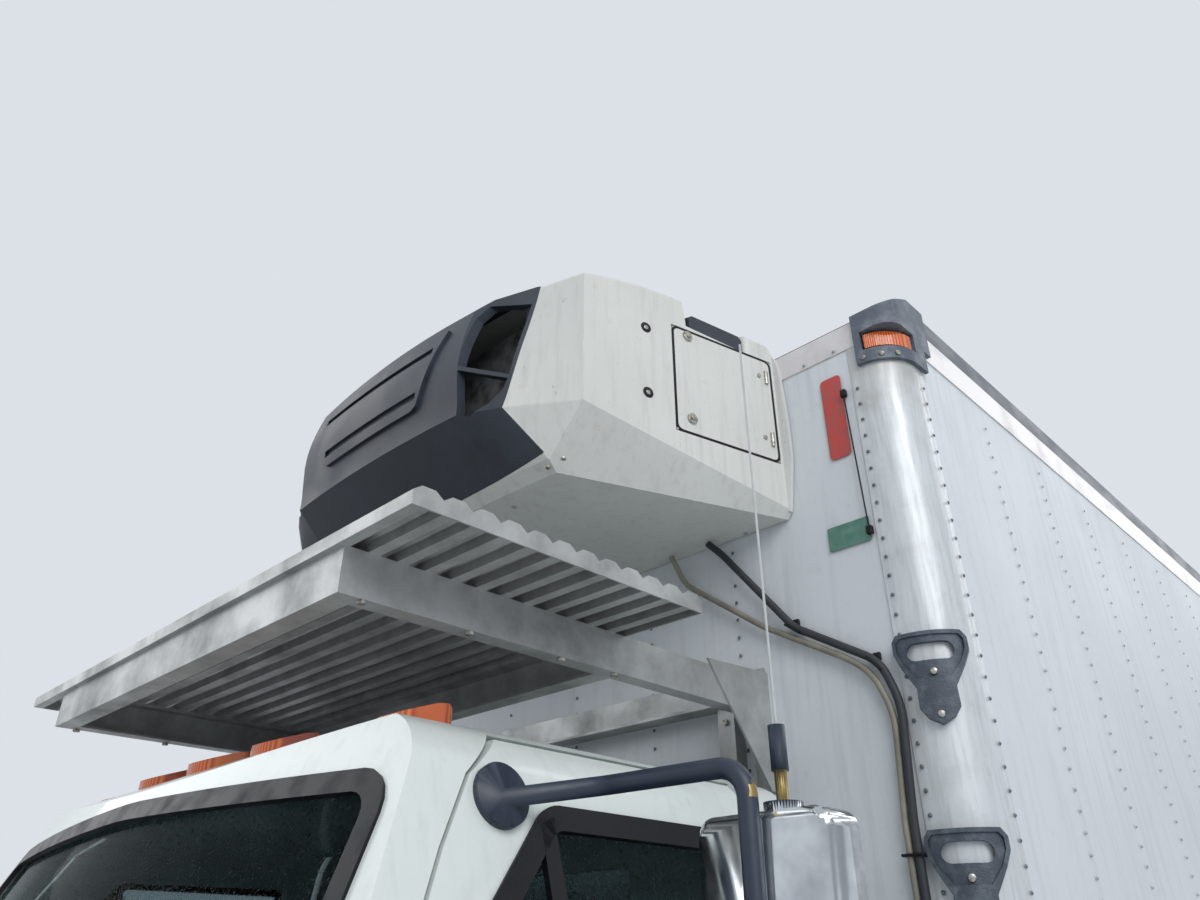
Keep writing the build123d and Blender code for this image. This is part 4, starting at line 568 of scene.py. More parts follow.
def brick(middle, size, radius=0.0, lean=0.0):
    """A block at a place, tilted about the cross axis, with all its edges rounded."""
    bpy.ops.object.select_all(action="DESELECT")
    bpy.ops.mesh.primitive_cube_add(size=1, location=middle, rotation=(math.radians(lean), 0, 0))
    piece = bpy.context.object
    piece.scale = size
    settled(piece)
    if radius:
        rounded(piece, lambda a, b: True, radius)
    return piece


def blown(piece, swell):
    """The piece filled like a cushion: cloth under pressure, each point moved by the swell at most."""
    modified(piece, "REMESH", mode="VOXEL", voxel_size=SEAT_VOXEL)
    rest = [point.co.copy() for point in piece.data.vertices]
    only(piece)
    bpy.ops.object.modifier_add(type="CLOTH")
    cloth = piece.modifiers[-1]
    cloth.settings.use_pressure = True
    cloth.settings.uniform_pressure_force = SEAT_PRESSURE
    cloth.settings.effector_weights.gravity = 0
    scene = bpy.context.scene
    for step in range(1, SEAT_FRAMES + 1):
        scene.frame_set(step)
    full = piece.evaluated_get(bpy.context.evaluated_depsgraph_get()).data
    shifts = [point.co - place for point, place in zip(full.vertices, rest)]
    piece.modifiers.remove(cloth)
    scene.frame_set(1)
    for point, place, shift in zip(piece.data.vertices, rest, shifts):
        point.co = place + shift * min(1, swell / max(shift.length, 1e-6))
    return piece


def sewn(piece, middle_x):
    """Presses the sewn channels into the piece."""
    for point in piece.data.vertices:
        for place in CHANNEL_PLACES:
            near = 1 - (abs(point.co.x - middle_x - place) / CHANNEL_HALF) ** 2
            if near > 0:
                point.co -= point.normal * CHANNEL_DEPTH * near
    return piece


seat_fabric = Finish("seat_fabric", (78, 80, 84), 0.9)
warp = seat_fabric.node("TexWave", {"bands_direction": "X"}, Vector=seat_fabric.place, Scale=190)
steep = seat_fabric.node(
    "VectorMath", {"operation": "ADD"}, seat_fabric.place, seat_fabric.stretched(0, 0, 1))
weft = seat_fabric.node("TexWave", {"bands_direction": "Y"}, Vector=steep, Scale=190)
weave = warp * weft
worn_cloth = seat_fabric.ramp(seat_fabric.noise(9, 5), 0.45, 0.75)
seat_fabric.tones(weave * 0.6 + worn_cloth * 0.4, (62, 64, 69), (98, 100, 104))
seat_fabric.set("Roughness", 0.82 + weave * 0.12)
seat_fabric.relief(weave, 0.0008)
for name, place, size, lean in SEAT_PADS:
    pad = brick(spot(*place), size, PAD_EDGE, lean)
    pad = sewn(blown(pad, SEAT_SWELL), SEAT_X / 1000)
    modified(pad, "SUBSURF", levels=1, render_levels=1)
    finished(pad, f"{name}_left", seat_fabric, smooth=60)
    other = finished(twin(pad), f"{name}_right", seat_fabric, smooth=60)
    for cushion in (pad, other):
        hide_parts("seats")
seat_base = both(brick(spot(*SEAT_BASE), SEAT_BASE_SIZE, SEAT_BASE_EDGE))
finished(seat_base, "seat_bases", dash_plastic)
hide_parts("seats")

# Floor of the box: extruded aluminium planks, welded side by side over the insulation.
# Pallets have scuffed it lengthwise.
floor_metal = Finish("floor_aluminium", (168, 170, 172), 0.45, metallic=0.7)
scuffs = floor_metal.ramp(floor_metal.noise(20, 6, 0.6, at=floor_metal.stretched(6, 1, 6)), 0.45, 0.7)
floor_metal.tones(scuffs, (178, 180, 182), (122, 120, 116))
floor_metal.set("Roughness", 0.38 + scuffs * 0.25)
dress(floor_metal, "box_floor")

# Walls and doors of the box: pre-painted white sheet riveted to its posts.
# Thin sheet shows a slight wave between the rivet lines, grey rain runs and a film of dust.
box_paint = Finish("box_paint", (214, 218, 220), 0.5)
cloud = box_paint.noise(1.6, 4, 0.6)
streaks = box_paint.ramp(box_paint.noise(4, 5, 0.6, at=box_paint.stretched(8, 8, 0.5)), 0.5, 0.85)
grime = box_paint.ramp(box_paint.noise(26, 6, 0.7), 0.56, 0.8)
sheet = box_paint.mix(cloud, linear((214, 219, 223)), linear((198, 203, 208)))
sheet = box_paint.mix(streaks * 0.35, sheet, linear((150, 154, 154)))
box_paint.set("Base Color", box_paint.mix(grime * 0.18, sheet, linear((132, 134, 130))))
box_paint.set("Roughness", 0.44 + cloud * 0.2)
box_paint.relief(box_paint.noise(2.4, 1, at=box_paint.stretched(1, 1, 0.35)), 0.02, 0.5)
dress(box_paint, "box_front_wall", "box_side_walls", "box_door_left", "box_door_right")

# Rivets of the walls: low steel heads, greyed, in columns over each inner post and along the rails.
# One low head is pressed, then repeated up the column and from post to post.
RIVET_RADIUS = 0.0052
RIVET_HEIGHT = 0.0032
RIVET_CROWN = 0.45
RIVET_SEAT = 0.45
RIVET_SIDES = 8
RIVET_PITCH = 0.05
FRONT_COLUMNS = (0, 320, 640)
FRONT_FEET = 1160
FRONT_COUNT = 36
POST_FEET = 1060
POST_COUNT = 45
POST_FRONT = (1104, -3)
POST_SIDE = (1233, 128)
SIDE_FACE = 1230
SIDE_START = 545
SIDE_PITCH = 0.406
SIDE_COLUMNS = 14
SIDE_COUNT = 44
RAIL_START = (-1050, -3, 3412)
RAIL_PITCH = 0.1
RAIL_COUNT = 22


def rivet(place, towards):
    """A low rivet head that stands on a sheet, its foot just below the surface."""
    out = Vector(towards)
    bpy.ops.object.select_all(action="DESELECT")
    bpy.ops.mesh.primitive_cone_add(
        vertices=RIVET_SIDES, radius1=RIVET_RADIUS, radius2=RIVET_RADIUS * RIVET_CROWN,
        depth=RIVET_HEIGHT, location=place + out * RIVET_HEIGHT * RIVET_SEAT,
        rotation=out.to_track_quat("Z", "Y").to_euler())
    return settled(bpy.context.object)


rivet_grey = Finish("rivet_grey", (92, 98, 102), 0.5, metallic=0.5)
rivet_grey.tones(rivet_grey.noise(60, 3), (74, 80, 85), (128, 134, 138))
rivet_grey.set("Roughness", 0.4 + rivet_grey.noise(90, 2) * 0.3)
rivet_pale = Finish("rivet_pale", (146, 152, 158), 0.5, metallic=0.3)
rivet_pale.tones(rivet_pale.noise(60, 3), (126, 132, 139), (172, 177, 181))
rivet_pale.set("Roughness", 0.4 + rivet_pale.noise(90, 2) * 0.3)

front_rivets = [
    stepped(rivet(spot(side * x, 0, FRONT_FEET), (0, -1, 0)), FRONT_COUNT, z=RIVET_PITCH)
    for x in FRONT_COLUMNS for side in ((1, -1) if x else (1,))]
finished(joined(*front_rivets), "front_wall_rivets", rivet_grey)
post_rivets = joined(
    stepped(rivet(spot(*POST_FRONT, POST_FEET), (0, -1, 0)), POST_COUNT, z=RIVET_PITCH),
    stepped(rivet(spot(*POST_SIDE, POST_FEET), (1, 0, 0)), POST_COUNT, z=RIVET_PITCH))
finished(both(post_rivets), "corner_post_rivets", rivet_grey)
side_rivets = stepped(
    stepped(rivet(spot(SIDE_FACE, SIDE_START, FRONT_FEET), (1, 0, 0)), SIDE_COUNT, z=RIVET_PITCH),
    SIDE_COLUMNS, y=SIDE_PITCH)
finished(both(side_rivets), "side_wall_rivets", rivet_pale)
rail_rivets = stepped(rivet(spot(*RAIL_START), (0, -1, 0)), RAIL_COUNT, x=RAIL_PITCH)
finished(rail_rivets, "front_rail_rivets", rivet_pale)

# Marker strips on the front wall: red and green reflecting film, cut by hand and pressed on the sheet.
# The red one is tall with round corners, and the green one is small and nearly square-cut.
# each film: left, right, foot and top
RED_STRIP = (992, 1056, 3074, 3332)
GREEN_PATCH = (952, 1074, 2817, 2883)
RED_CORNER = 0.012
GREEN_CORNER = 0.004
FILM_Y = -0.6
FILM_THICKNESS = 0.0012


def film(sides, radius, name, finish):
    """A rectangle of film on the front wall, with rounded corners."""
    left, right, low, high = sides
    corners = ((left, low), (right, low), (right, high), (left, high))
    piece = round_corners(plate([spot(x, FILM_Y, z) for x, z in corners]), radius)
    modified(piece, "SOLIDIFY", thickness=FILM_THICKNESS, offset=0)
    return finished(outward(piece), name, finish)


red_film = Finish("red_film", (176, 62, 56), 0.4, coat=0.3)
red_film.tones(red_film.ramp(red_film.noise(30, 5), 0.4, 0.75), (184, 60, 54), (150, 76, 70))
red_film.relief(red_film.node("TexVoronoi", {}, Vector=red_film.place, Scale=420), 0.0004)
green_film = Finish("green_film", (70, 120, 104), 0.4, coat=0.3)
green_film.tones(green_film.ramp(green_film.noise(30, 5), 0.4, 0.75), (66, 118, 102), (104, 140, 128))
green_film.relief(green_film.node("TexVoronoi", {}, Vector=green_film.place, Scale=420), 0.0004)
film(RED_STRIP, RED_CORNER, "red_strip", red_film)
film(GREEN_PATCH, GREEN_CORNER, "green_patch", green_film)

# Earth wire beside the red strip: a thin copper cable in black rubber.
# It is stretched between two small clamps that are screwed to the wall.
WIRE_TOP = (1063, -9, 3259)
WIRE_FOOT = (1075, -9, 2840)
WIRE_RADIUS = 0.0022
WIRE_SIDES = 8
CLAMP_Y = -7
CLAMP_SIZE = (0.016, 0.014, 0.022)
CLAMP_EDGE = 0.002
wire_run = spot(*WIRE_FOOT) - spot(*WIRE_TOP)
wire = pin(spot(*WIRE_TOP), wire_run, WIRE_RADIUS, wire_run.length, WIRE_SIDES)
wire_clamps = [brick(spot(x, CLAMP_Y, z), CLAMP_SIZE, CLAMP_EDGE) for x, _, z in (WIRE_TOP, WIRE_FOOT)]
finished(joined(wire, *wire_clamps), "earth_wire", seal_rubber)

# Roof skin: one aluminium sheet, folded down over the top rails and riveted to them.
# It is coloured a dark blue-grey, paler in patches.
roof_edge = Finish("roof_edge", (74, 80, 90), 0.5, metallic=0.3)
roof_bloom = roof_edge.ramp(roof_edge.noise(7, 6, 0.6, at=roof_edge.stretched(1, 1, 3)), 0.4, 0.75)
roof_edge.tones(roof_bloom, (58, 66, 78), (96, 103, 112))
roof_edge.set("Roughness", 0.42 + roof_bloom * 0.25)
dress(roof_edge, "box_roof")

# Rails along the top and bottom of the walls: extruded aluminium under a warm white paint.
# They clamp the edges of the sheets, and dirt marks them in patches.
rail_paint = Finish("rail_paint", (206, 203, 204), 0.4, coat=0.2)
rail_marks = rail_paint.ramp(rail_paint.noise(7, 6, 0.6), 0.5, 0.75)
rail_paint.tones(rail_marks * 0.5, (208, 205, 206), (166, 162, 162))
rail_paint.set("Roughness", 0.36 + rail_marks * 0.2)
dress(rail_paint, "box_rails")

# Corner posts: rounded aluminium extrusions, riveted over the edges of the front and side walls.
# The satin metal is streaked by years of rain, and painted shade darkens it to a brownish tone just under
# the caps.
post_metal = Finish("post_aluminium", (200, 204, 206), 0.42, metallic=0.2)
tears = post_metal.ramp(post_metal.noise(7, 6, 0.65, at=post_metal.stretched(9, 9, 0.7)), 0.45, 0.8)
blots = post_metal.ramp(post_metal.noise(11, 6, 0.7), 0.5, 0.72)
# painted shade: a brownish darkening of the post just below the caps, where they stand proud of it
cap_shade = post_metal.ramp(post_metal.z + post_metal.noise(14, 5) * 0.25, 3.28, 3.45)
post_tone = post_metal.mix(tears * 0.6, linear((206, 211, 214)), linear((152, 155, 156)))
post_tone = post_metal.mix(blots * 0.4, post_tone, linear((172, 172, 170)))
post_metal.set("Base Color", post_metal.mix(cap_shade * 0.35, post_tone, linear((124, 108, 92))))
post_metal.set("Roughness", 0.36 + tears * 0.2)
dress(post_metal, "corner_posts")

# Corner caps: grey castings with a pocket for a lamp, set over the tops of the corner posts.
# They have gone chalky, and each is held by bright screws through its skirt.
CAP_SCREWS = ((1187, 6), (1220, 36), (1141, -11))
CAP_SCREW_Z = 3341
CAP_SCREW_SUNK = 0.002
CAP_SCREW_HEAD = (0.008, 0.006, 12, 0.0018)
POST_AXIS = (1125, 105)
cap_casting = Finish("cap_casting", (98, 105, 116), 0.6, metallic=0.1)
chalk = cap_casting.ramp(cap_casting.noise(24, 5, 0.6), 0.45, 0.75)
cap_casting.tones(chalk, (84, 92, 104), (122, 129, 138))
cap_casting.relief(cap_casting.noise(260, 3), 0.0012)
dress(cap_casting, "corner_caps")
cap_screws = []
for x, y in CAP_SCREWS:
    away = Vector((x - POST_AXIS[0], y - POST_AXIS[1], 0)).normalized()
    cap_screws.append(pin(spot(x, y, CAP_SCREW_Z) - away * CAP_SCREW_SUNK, away, *CAP_SCREW_HEAD))
finished(both(joined(*cap_screws)), "cap_screws", zinc)

# Marker lamps: amber moulded lenses, five along the cab roof and one in each corner cap.
# Fine ribs on the inside show darker through the colour.
amber = Finish("amber_lens", (226, 112, 30), 0.15, coat=0.6)
lens_ribs = amber.node("TexWave", {"bands_direction": "X"}, Vector=amber.place, Scale=60)
amber.tones(lens_ribs, (232, 118, 34), (176, 66, 22))
amber.relief(lens_ribs, 0.0008)
dress(amber, "marker_lamps")

# Tail lamps: red moulded lenses in the rear sill and the header.
# A moulded grid shows darker through the colour.
red_lens = Finish("red_lens", (164, 18, 20), 0.15, coat=0.6)
grid = red_lens.node("TexVoronoi", {"distance": "CHEBYCHEV"}, Vector=red_lens.place, Scale=90)
red_lens.tones(grid, (178, 22, 22), (112, 8, 12))
red_lens.relief(grid, 0.0015)
dress(red_lens, "tail_lamps")

# Door frame at the rear: folded stainless steel, welded at its corners.
# Its sheet is brushed across the truck.
stainless = Finish("stainless", (176, 178, 180), 0.3, metallic=0.9)
lines = stainless.noise(30, 3, at=stainless.stretched(1, 40, 40))
stainless.tones(lines, (186, 188, 190), (150, 152, 154))
stainless.set("Roughness", 0.22 + lines * 0.2)
dress(stainless, "rear_frame")

# Unit housing: off-white moulded plastic, creased where its side turns under the belly.
# The sun has chalked it, rain has streaked it, and it is scuffed and rust-marked round its fixings.
unit_plastic = Finish("unit_plastic", (214, 214, 208), 0.5)
patches = unit_plastic.noise(3.2, 5, 0.6)
drips = unit_plastic.ramp(unit_plastic.noise(6, 5, 0.6, at=unit_plastic.stretched(7, 7, 0.6)), 0.5, 0.82)
marks = unit_plastic.ramp(unit_plastic.noise(34, 5, 0.7, at=unit_plastic.stretched(1, 3, 1)), 0.66, 0.7)
tan_marks = unit_plastic.ramp(unit_plastic.noise(13, 6, 0.7), 0.62, 0.74)
shade = unit_plastic.mix(patches, linear((216, 218, 214)), linear((196, 198, 194)))
shade = unit_plastic.mix(drips * 0.35, shade, linear((150, 151, 146)))
shade = unit_plastic.mix(tan_marks * 0.3, shade, linear((150, 130, 104)))
unit_plastic.set("Base Color", unit_plastic.mix(marks * 0.45, shade, linear((120, 120, 116))))
unit_plastic.set("Roughness", 0.44 + patches * 0.16)
unit_plastic.relief(unit_plastic.noise(320, 2), 0.0005)
dress(unit_plastic, "unit_shell", "unit_door_left", "unit_door_right", "evaporator")

# Fittings of the unit: a rubber gasket round each service door, two quarter-turn latches and two
# pinned hinges of plated steel, and the screws and plugs that hold the housing.
UNIT_BACK_X = 854
UNIT_SHOULDER_X = 694
UNIT_SHOULDER_Y = -657
UNIT_SIDE_SLOPE = (UNIT_SHOULDER_X - UNIT_BACK_X) / UNIT_SHOULDER_Y
UNIT_SIDE_OUT = Vector((1, -UNIT_SIDE_SLOPE, 0)).normalized()
UNIT_DOOR = ((-372, 3118), (-28, 3118), (-28, 3458), (-372, 3458))
GASKET_SPREAD = (1.03, 1.03, 1.032)
GASKET_CORNER = 0.024
GASKET_WIDTH = 0.0078
GASKET_THICKNESS = 0.003
GASKET_DEPTH = 0.0012
LATCHES = ((-324, 3440), (-324, 3163))
LATCH_CUP = (0.016, 0.006, 20, 0.002)
LATCH_KEY = (0.008, 0.004, 6, 0.001)
HINGES = ((-46, 3398), (-46, 3185))
HINGE_PIN = (0.006, 0.044, 12, 0.0015)
HINGE_PIN_OUT = 0.002
HINGE_DROP = 22
HINGE_SCREW = (0.007, 0.004, 12, 0.001)
HINGE_SCREW_STEP = 26
LIP_SCREWS = ((853, -3, 3356), (853, -3, 3160))
LIP_SCREW = (0.007, 0.004, 12, 0.001)
BELLY_SCREWS = ((621, -651, 2973), (580, -665, 2958), (360, -588, 2952), (700, -12, 2952))
BELLY_SCREW = (0.007, 0.005, 12, 0.0015)
SIDE_PLUGS = ((-463, 3415), (-462, 3200))
SIDE_PLUG = (0.0165, 0.0012, 24, 0.0004)
SIDE_SCREW = (0.007, 0.002, 12, 0.0006)


def on_side(y, z, out=0.0):
    """A place on the unit's left side, seen at a distance along the truck, stood out by some metres."""
    return spot(UNIT_BACK_X + UNIT_SIDE_SLOPE * y, y, z) + UNIT_SIDE_OUT * out


gasket = plate([on_side(y, z, -GASKET_DEPTH) for y, z in UNIT_DOOR])
chosen(gasket, lambda centre, normal: True, "FACE")
bpy.ops.transform.resize(value=GASKET_SPREAD)
bpy.ops.object.mode_set(mode="OBJECT")
gasket = ring(round_corners(gasket, GASKET_CORNER), GASKET_WIDTH)
modified(gasket, "SOLIDIFY", thickness=GASKET_THICKNESS, offset=0)
finished(both(outward(gasket)), "unit_door_gaskets", seal_rubber)

plated = Finish("plated_steel", (168, 166, 158), 0.35, metallic=0.85)
tarnish = plated.ramp(plated.noise(120, 4), 0.45, 0.7)
plated.tones(tarnish, (178, 178, 172), (112, 98, 80))
plated.set("Roughness", 0.28 + tarnish * 0.35)
fittings = []
for y, z in LATCHES:
    fittings.append(pin(on_side(y, z), UNIT_SIDE_OUT, *LATCH_CUP))
    fittings.append(pin(on_side(y, z, LATCH_CUP[1]), UNIT_SIDE_OUT, *LATCH_KEY))
for y, z in HINGES:
    fittings.append(pin(on_side(y, z - HINGE_DROP, HINGE_PIN_OUT), (0, 0, 1), *HINGE_PIN))
    fittings.append(pin(on_side(y - HINGE_SCREW_STEP, z), UNIT_SIDE_OUT, *HINGE_SCREW))
door_fittings = joined(*fittings)
finished(twin(door_fittings), "unit_door_fittings_right", plated, "service_door_right")
finished(door_fittings, "unit_door_fittings_left", plated, "service_door_left")
unit_screws = [pin(spot(*place), (1, 0, 0), *LIP_SCREW) for place in LIP_SCREWS]
unit_screws += [pin(spot(*place), (0, 0, -1), *BELLY_SCREW) for place in BELLY_SCREWS]
unit_screws += [pin(on_side(y, z), UNIT_SIDE_OUT, *SIDE_SCREW) for y, z in SIDE_PLUGS]
finished(both(joined(*unit_screws)), "unit_screws", plated)
plugs = [pin(on_side(y, z), UNIT_SIDE_OUT, *SIDE_PLUG) for y, z in SIDE_PLUGS]
finished(both(joined(*plugs)), "unit_plugs", seal_rubber)

# Grille of the unit: one dark blue-grey plastic moulding, screwed to the front of the housing.
# It has a fine grain, and the sun has bloomed it in patches.
unit_dark = Finish("unit_dark", (36, 42, 52), 0.55)
bloom = unit_dark.ramp(unit_dark.noise(5, 5, 0.6), 0.4, 0.75)
unit_dark.tones(bloom, (30, 37, 47), (54, 62, 73))
unit_dark.set("Roughness", 0.48 + bloom * 0.2)
unit_dark.relief(unit_dark.noise(500, 2), 0.0006)
dress(unit_dark, "unit_grille")

# Condenser behind the grille: thin upright fins of bare aluminium over the dark works.
# One fin is cut and repeated across the unit.
FIN_FIRST = (-486, -652, 3240)
FIN_SIZE = (0.0008, 0.018, 0.46)
FIN_PITCH = 0.009
FIN_COUNT = 109
unit_steel = Finish("unit_steel", (64, 66, 68), 0.6, metallic=0.4)
unit_steel.tones(unit_steel.noise(20, 5), (48, 50, 52), (84, 86, 88))
unit_steel.relief(unit_steel.noise(140, 3), 0.001)
dress(unit_steel, "unit_works")
fins = Finish("condenser_fins", (150, 153, 156), 0.4, metallic=0.8)
fins.tones(fins.ramp(fins.noise(24, 5), 0.4, 0.7), (156, 159, 162), (88, 86, 80))
fins.set("Roughness", 0.35 + fins.noise(40, 3) * 0.3)
fin_row = stepped(brick(spot(*FIN_FIRST), FIN_SIZE), FIN_COUNT, x=FIN_PITCH)
finished(fin_row, "condenser_fins", fins)

# Work deck and its frame: ribbed aluminium planks on folded channels, bolted to the front wall.
# The metal has its mill finish, rolled lengthwise, and has oxidised in blotches.
deck_metal = Finish("deck_aluminium", (184, 186, 184), 0.48, metallic=0.55)
oxide = deck_metal.ramp(deck_metal.noise(6, 7, 0.65), 0.38, 0.72)
rolled = deck_metal.noise(40, 3, at=deck_metal.stretched(0.6, 30, 30))
mill = deck_metal.mix(oxide, linear((190, 192, 191)), linear((136, 138, 136)))
deck_metal.set("Base Color", deck_metal.mix(rolled * 0.25, mill, linear((112, 114, 114))))
deck_metal.set("Roughness", 0.42 + oxide * 0.2)
dress(deck_metal, "deck", "deck_frame")

# Bolts of the deck: plated hexagon heads, from below through the side beams and from the front
# through the posts on the wall.
DECK_BOLT_X = 703
DECK_BOLT_YS = (-1200, -960, -720, -560)
DECK_BOLT_Z = 2435
WALL_BOLT_X = 606
WALL_BOLT_Y = -40
WALL_BOLT_ZS = (2430, 2330, 2200)
DECK_BOLT = (0.009, 0.007, 6, 0.001)
deck_bolts = [pin(spot(DECK_BOLT_X, y, DECK_BOLT_Z), (0, 0, -1), *DECK_BOLT) for y in DECK_BOLT_YS]
deck_bolts += [pin(spot(WALL_BOLT_X, WALL_BOLT_Y, z), (0, -1, 0), *DECK_BOLT) for z in WALL_BOLT_ZS]
finished(both(joined(*deck_bolts)), "deck_bolts", plated)

# Steps on the posts: slate-grey castings with a slot for hand or toe, on two bolts each.
# Boots have rubbed them paler in patches.
STEP_CENTRES = (2507, 2083, 1659, 1235)
STEP_TURN = math.radians(23.5)
STEP_OUT = Vector((math.sin(STEP_TURN), -math.cos(STEP_TURN), 0))
STEP_BOLT_FACE = 0.120
STEP_BOLT_DROPS = (49, 145)
STEP_BOLT = (0.0085, 0.009, 12, 0.003)
step_casting = Finish("step_casting", (82, 88, 98), 0.55, metallic=0.2)
rubbed = step_casting.ramp(step_casting.noise(30, 5, 0.65), 0.45, 0.72)
step_casting.tones(rubbed, (66, 74, 85), (104, 112, 121))
step_casting.set("Roughness", 0.46 + rubbed * 0.2)
step_casting.relief(step_casting.noise(300, 3), 0.001)
dress(step_casting, "side_steps")
step_bolts = []
for centre in STEP_CENTRES:
    for drop in STEP_BOLT_DROPS:
        foot = spot(*POST_AXIS, centre - drop) + STEP_OUT * STEP_BOLT_FACE
        step_bolts.append(pin(foot, STEP_OUT, *STEP_BOLT))
finished(both(joined(*step_bolts)), "step_bolts", plated)

# Drain hose of extruded black rubber and wiring conduit of beige vinyl, side by side.
# Black straps tie them to small bases that are stuck to the front wall.
# each row: x and z of the strap, its turn in degrees
HOSE_TIES = ((828, 2634, 38), (1040, 2500, 50), (1064, 2083, 0), (1064, 1659, 0))
TIE_Y = -16
TIE_SIZE = (0.052, 0.034, 0.006)
TIE_EDGE = 0.002
TIE_BASE_Y = -5
TIE_BASE_RISE = 20
TIE_BASE = (0.020, 0.010, 0.020)
TIE_BASE_EDGE = 0.003
hose_rubber = Finish("hose_rubber", (34, 38, 43), 0.6)
hose_rubber.tones(hose_rubber.noise(16, 4), (26, 30, 35), (50, 54, 58))
hose_rubber.relief(hose_rubber.noise(260, 2), 0.0006)
dress(hose_rubber, "drain_hose")
hose_vinyl = Finish("hose_vinyl", (132, 128, 114), 0.5)
hose_vinyl.tones(hose_vinyl.ramp(hose_vinyl.noise(12, 5), 0.35, 0.75), (146, 142, 128), (92, 90, 82))
hose_vinyl.relief(hose_vinyl.noise(200, 2), 0.0005)
dress(hose_vinyl, "wiring_conduit")
ties = []
for x, z, turn in HOSE_TIES:
    strap = brick(Vector((0, 0, 0)), TIE_SIZE, TIE_EDGE)
    strap.rotation_euler = (0, math.radians(turn), 0)
    strap.location = spot(x, TIE_Y, z)
    ties.append(settled(strap))
    ties.append(brick(spot(x, TIE_BASE_Y, z + TIE_BASE_RISE), TIE_BASE, TIE_BASE_EDGE))
finished(joined(*ties), "hose_ties", seal_rubber)

# Mud flaps: black ribbed rubber sheet, bolted to bars behind the rear wheels.
# Spray has greyed them.
flap_rubber = Finish("flap_rubber", (34, 34, 34), 0.8)
flap_ribs = flap_rubber.node("TexWave", {"bands_direction": "X"}, Vector=flap_rubber.place, Scale=14)
flap_rubber.tones(flap_rubber.ramp(flap_rubber.noise(9, 5), 0.4, 0.75), (30, 30, 31), (82, 79, 73))
flap_rubber.relief(flap_ribs, 0.003)
dress(flap_rubber, "mud_flaps")

# Mirrors: dark powder-coated arm and base, convex chromed housings with silvered glass behind.
# The left one carries the aerial, a brass foot and a black coil under a pale glass-fibre whip.
HEAD_START_X = 1.160
HEAD_FACE_Y = -0.8735
HEAD_BACK_Y = -0.806
HEAD_HEIGHTS = ((1.462, 1.638), (1.656, 2.070))
GLASS_FACING = 0.9
AERIAL_X = 1.28
AERIAL_FOOT_Z = 2.079
AERIAL_COIL_Z = 2.122
AERIAL_WHIP_Z = 2.184
MERGE_DISTANCE = 0.00001
MIRROR_SMOOTH = 35
mirror_black = Finish("mirror_black", (34, 44, 60), 0.42)
mirror_black.tones(mirror_black.noise(22, 4), (28, 38, 54), (48, 58, 74))
mirror_black.set("Roughness", 0.34 + mirror_black.noise(60, 3) * 0.2)
chrome = Finish("mirror_chrome", (206, 210, 212), 0.14, metallic=1.0)
smear = chrome.ramp(chrome.noise(18, 5), 0.4, 0.8)
chrome.tones(smear, (212, 216, 219), (168, 172, 176))
chrome.set("Roughness", 0.1 + smear * 0.16)
silvered = Finish("mirror_glass", (150, 158, 164), 0.03, metallic=1.0)
silvered.tones(silvered.noise(8, 3), (156, 164, 170), (142, 150, 156))
brass = Finish("aerial_brass", (176, 156, 104), 0.35, metallic=0.9)
brass.tones(brass.noise(90, 3), (186, 166, 112), (128, 108, 70))
whip = Finish("aerial_whip", (196, 200, 200), 0.4)
whip.tones(whip.noise(30, 3), (202, 206, 206), (160, 164, 164))
mirror_finishes = (mirror_black, chrome, silvered, brass, whip)


def mirror_part(centre, normal):
    """Which of the mirror's finishes a face has."""
    x, y, z = abs(centre.x), centre.y + BOX_FRONT, centre.z
    if x > AERIAL_X and z > AERIAL_WHIP_Z:
        return 4
    if x > AERIAL_X and AERIAL_FOOT_Z < z < AERIAL_COIL_Z:
        return 3
    if x > HEAD_START_X and y > HEAD_FACE_Y and any(low < z < high for low, high in HEAD_HEIGHTS):
        return 2 if y > HEAD_BACK_Y and normal.y > GLASS_FACING else 1
    return 0


for door in ("left", "right"):
    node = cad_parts[f"mirror_{door}"]
    piece = bpy.data.objects.new(f"mirror_dressed_{door}", node.data.copy())
    bpy.context.collection.objects.link(piece)
    only(piece)
    bpy.ops.object.mode_set(mode="EDIT")
    bpy.ops.mesh.select_all(action="SELECT")
    bpy.ops.mesh.remove_doubles(threshold=MERGE_DISTANCE)
    bpy.ops.object.mode_set(mode="OBJECT")
    finished(
        piece, f"mirror_dressed_{door}", mirror_black, f"cab_door_{door}", MIRROR_SMOOTH)
    for finish in mirror_finishes[1:]:
        piece.data.materials.append(finish.material)
    for face in piece.data.polygons:
        face.material_index = mirror_part(face.center, face.normal)
    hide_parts(f"mirror_{door}")

# Disc wheels: pressed steel in white enamel, under brown brake dust.
# Each is held to its hub by ten zinc nuts, with the ends of the studs standing out of them.
WHEEL_Z = 465
FRONT_AXLE_Y = -1900
REAR_AXLE_Y = 3730
NUT_CIRCLE = 143
NUT_COUNT = 10
WHEEL_NUT = (0.0175, 0.022, 6, 0.002)
WHEEL_STUD = (0.011, 0.034, 12, 0.002)
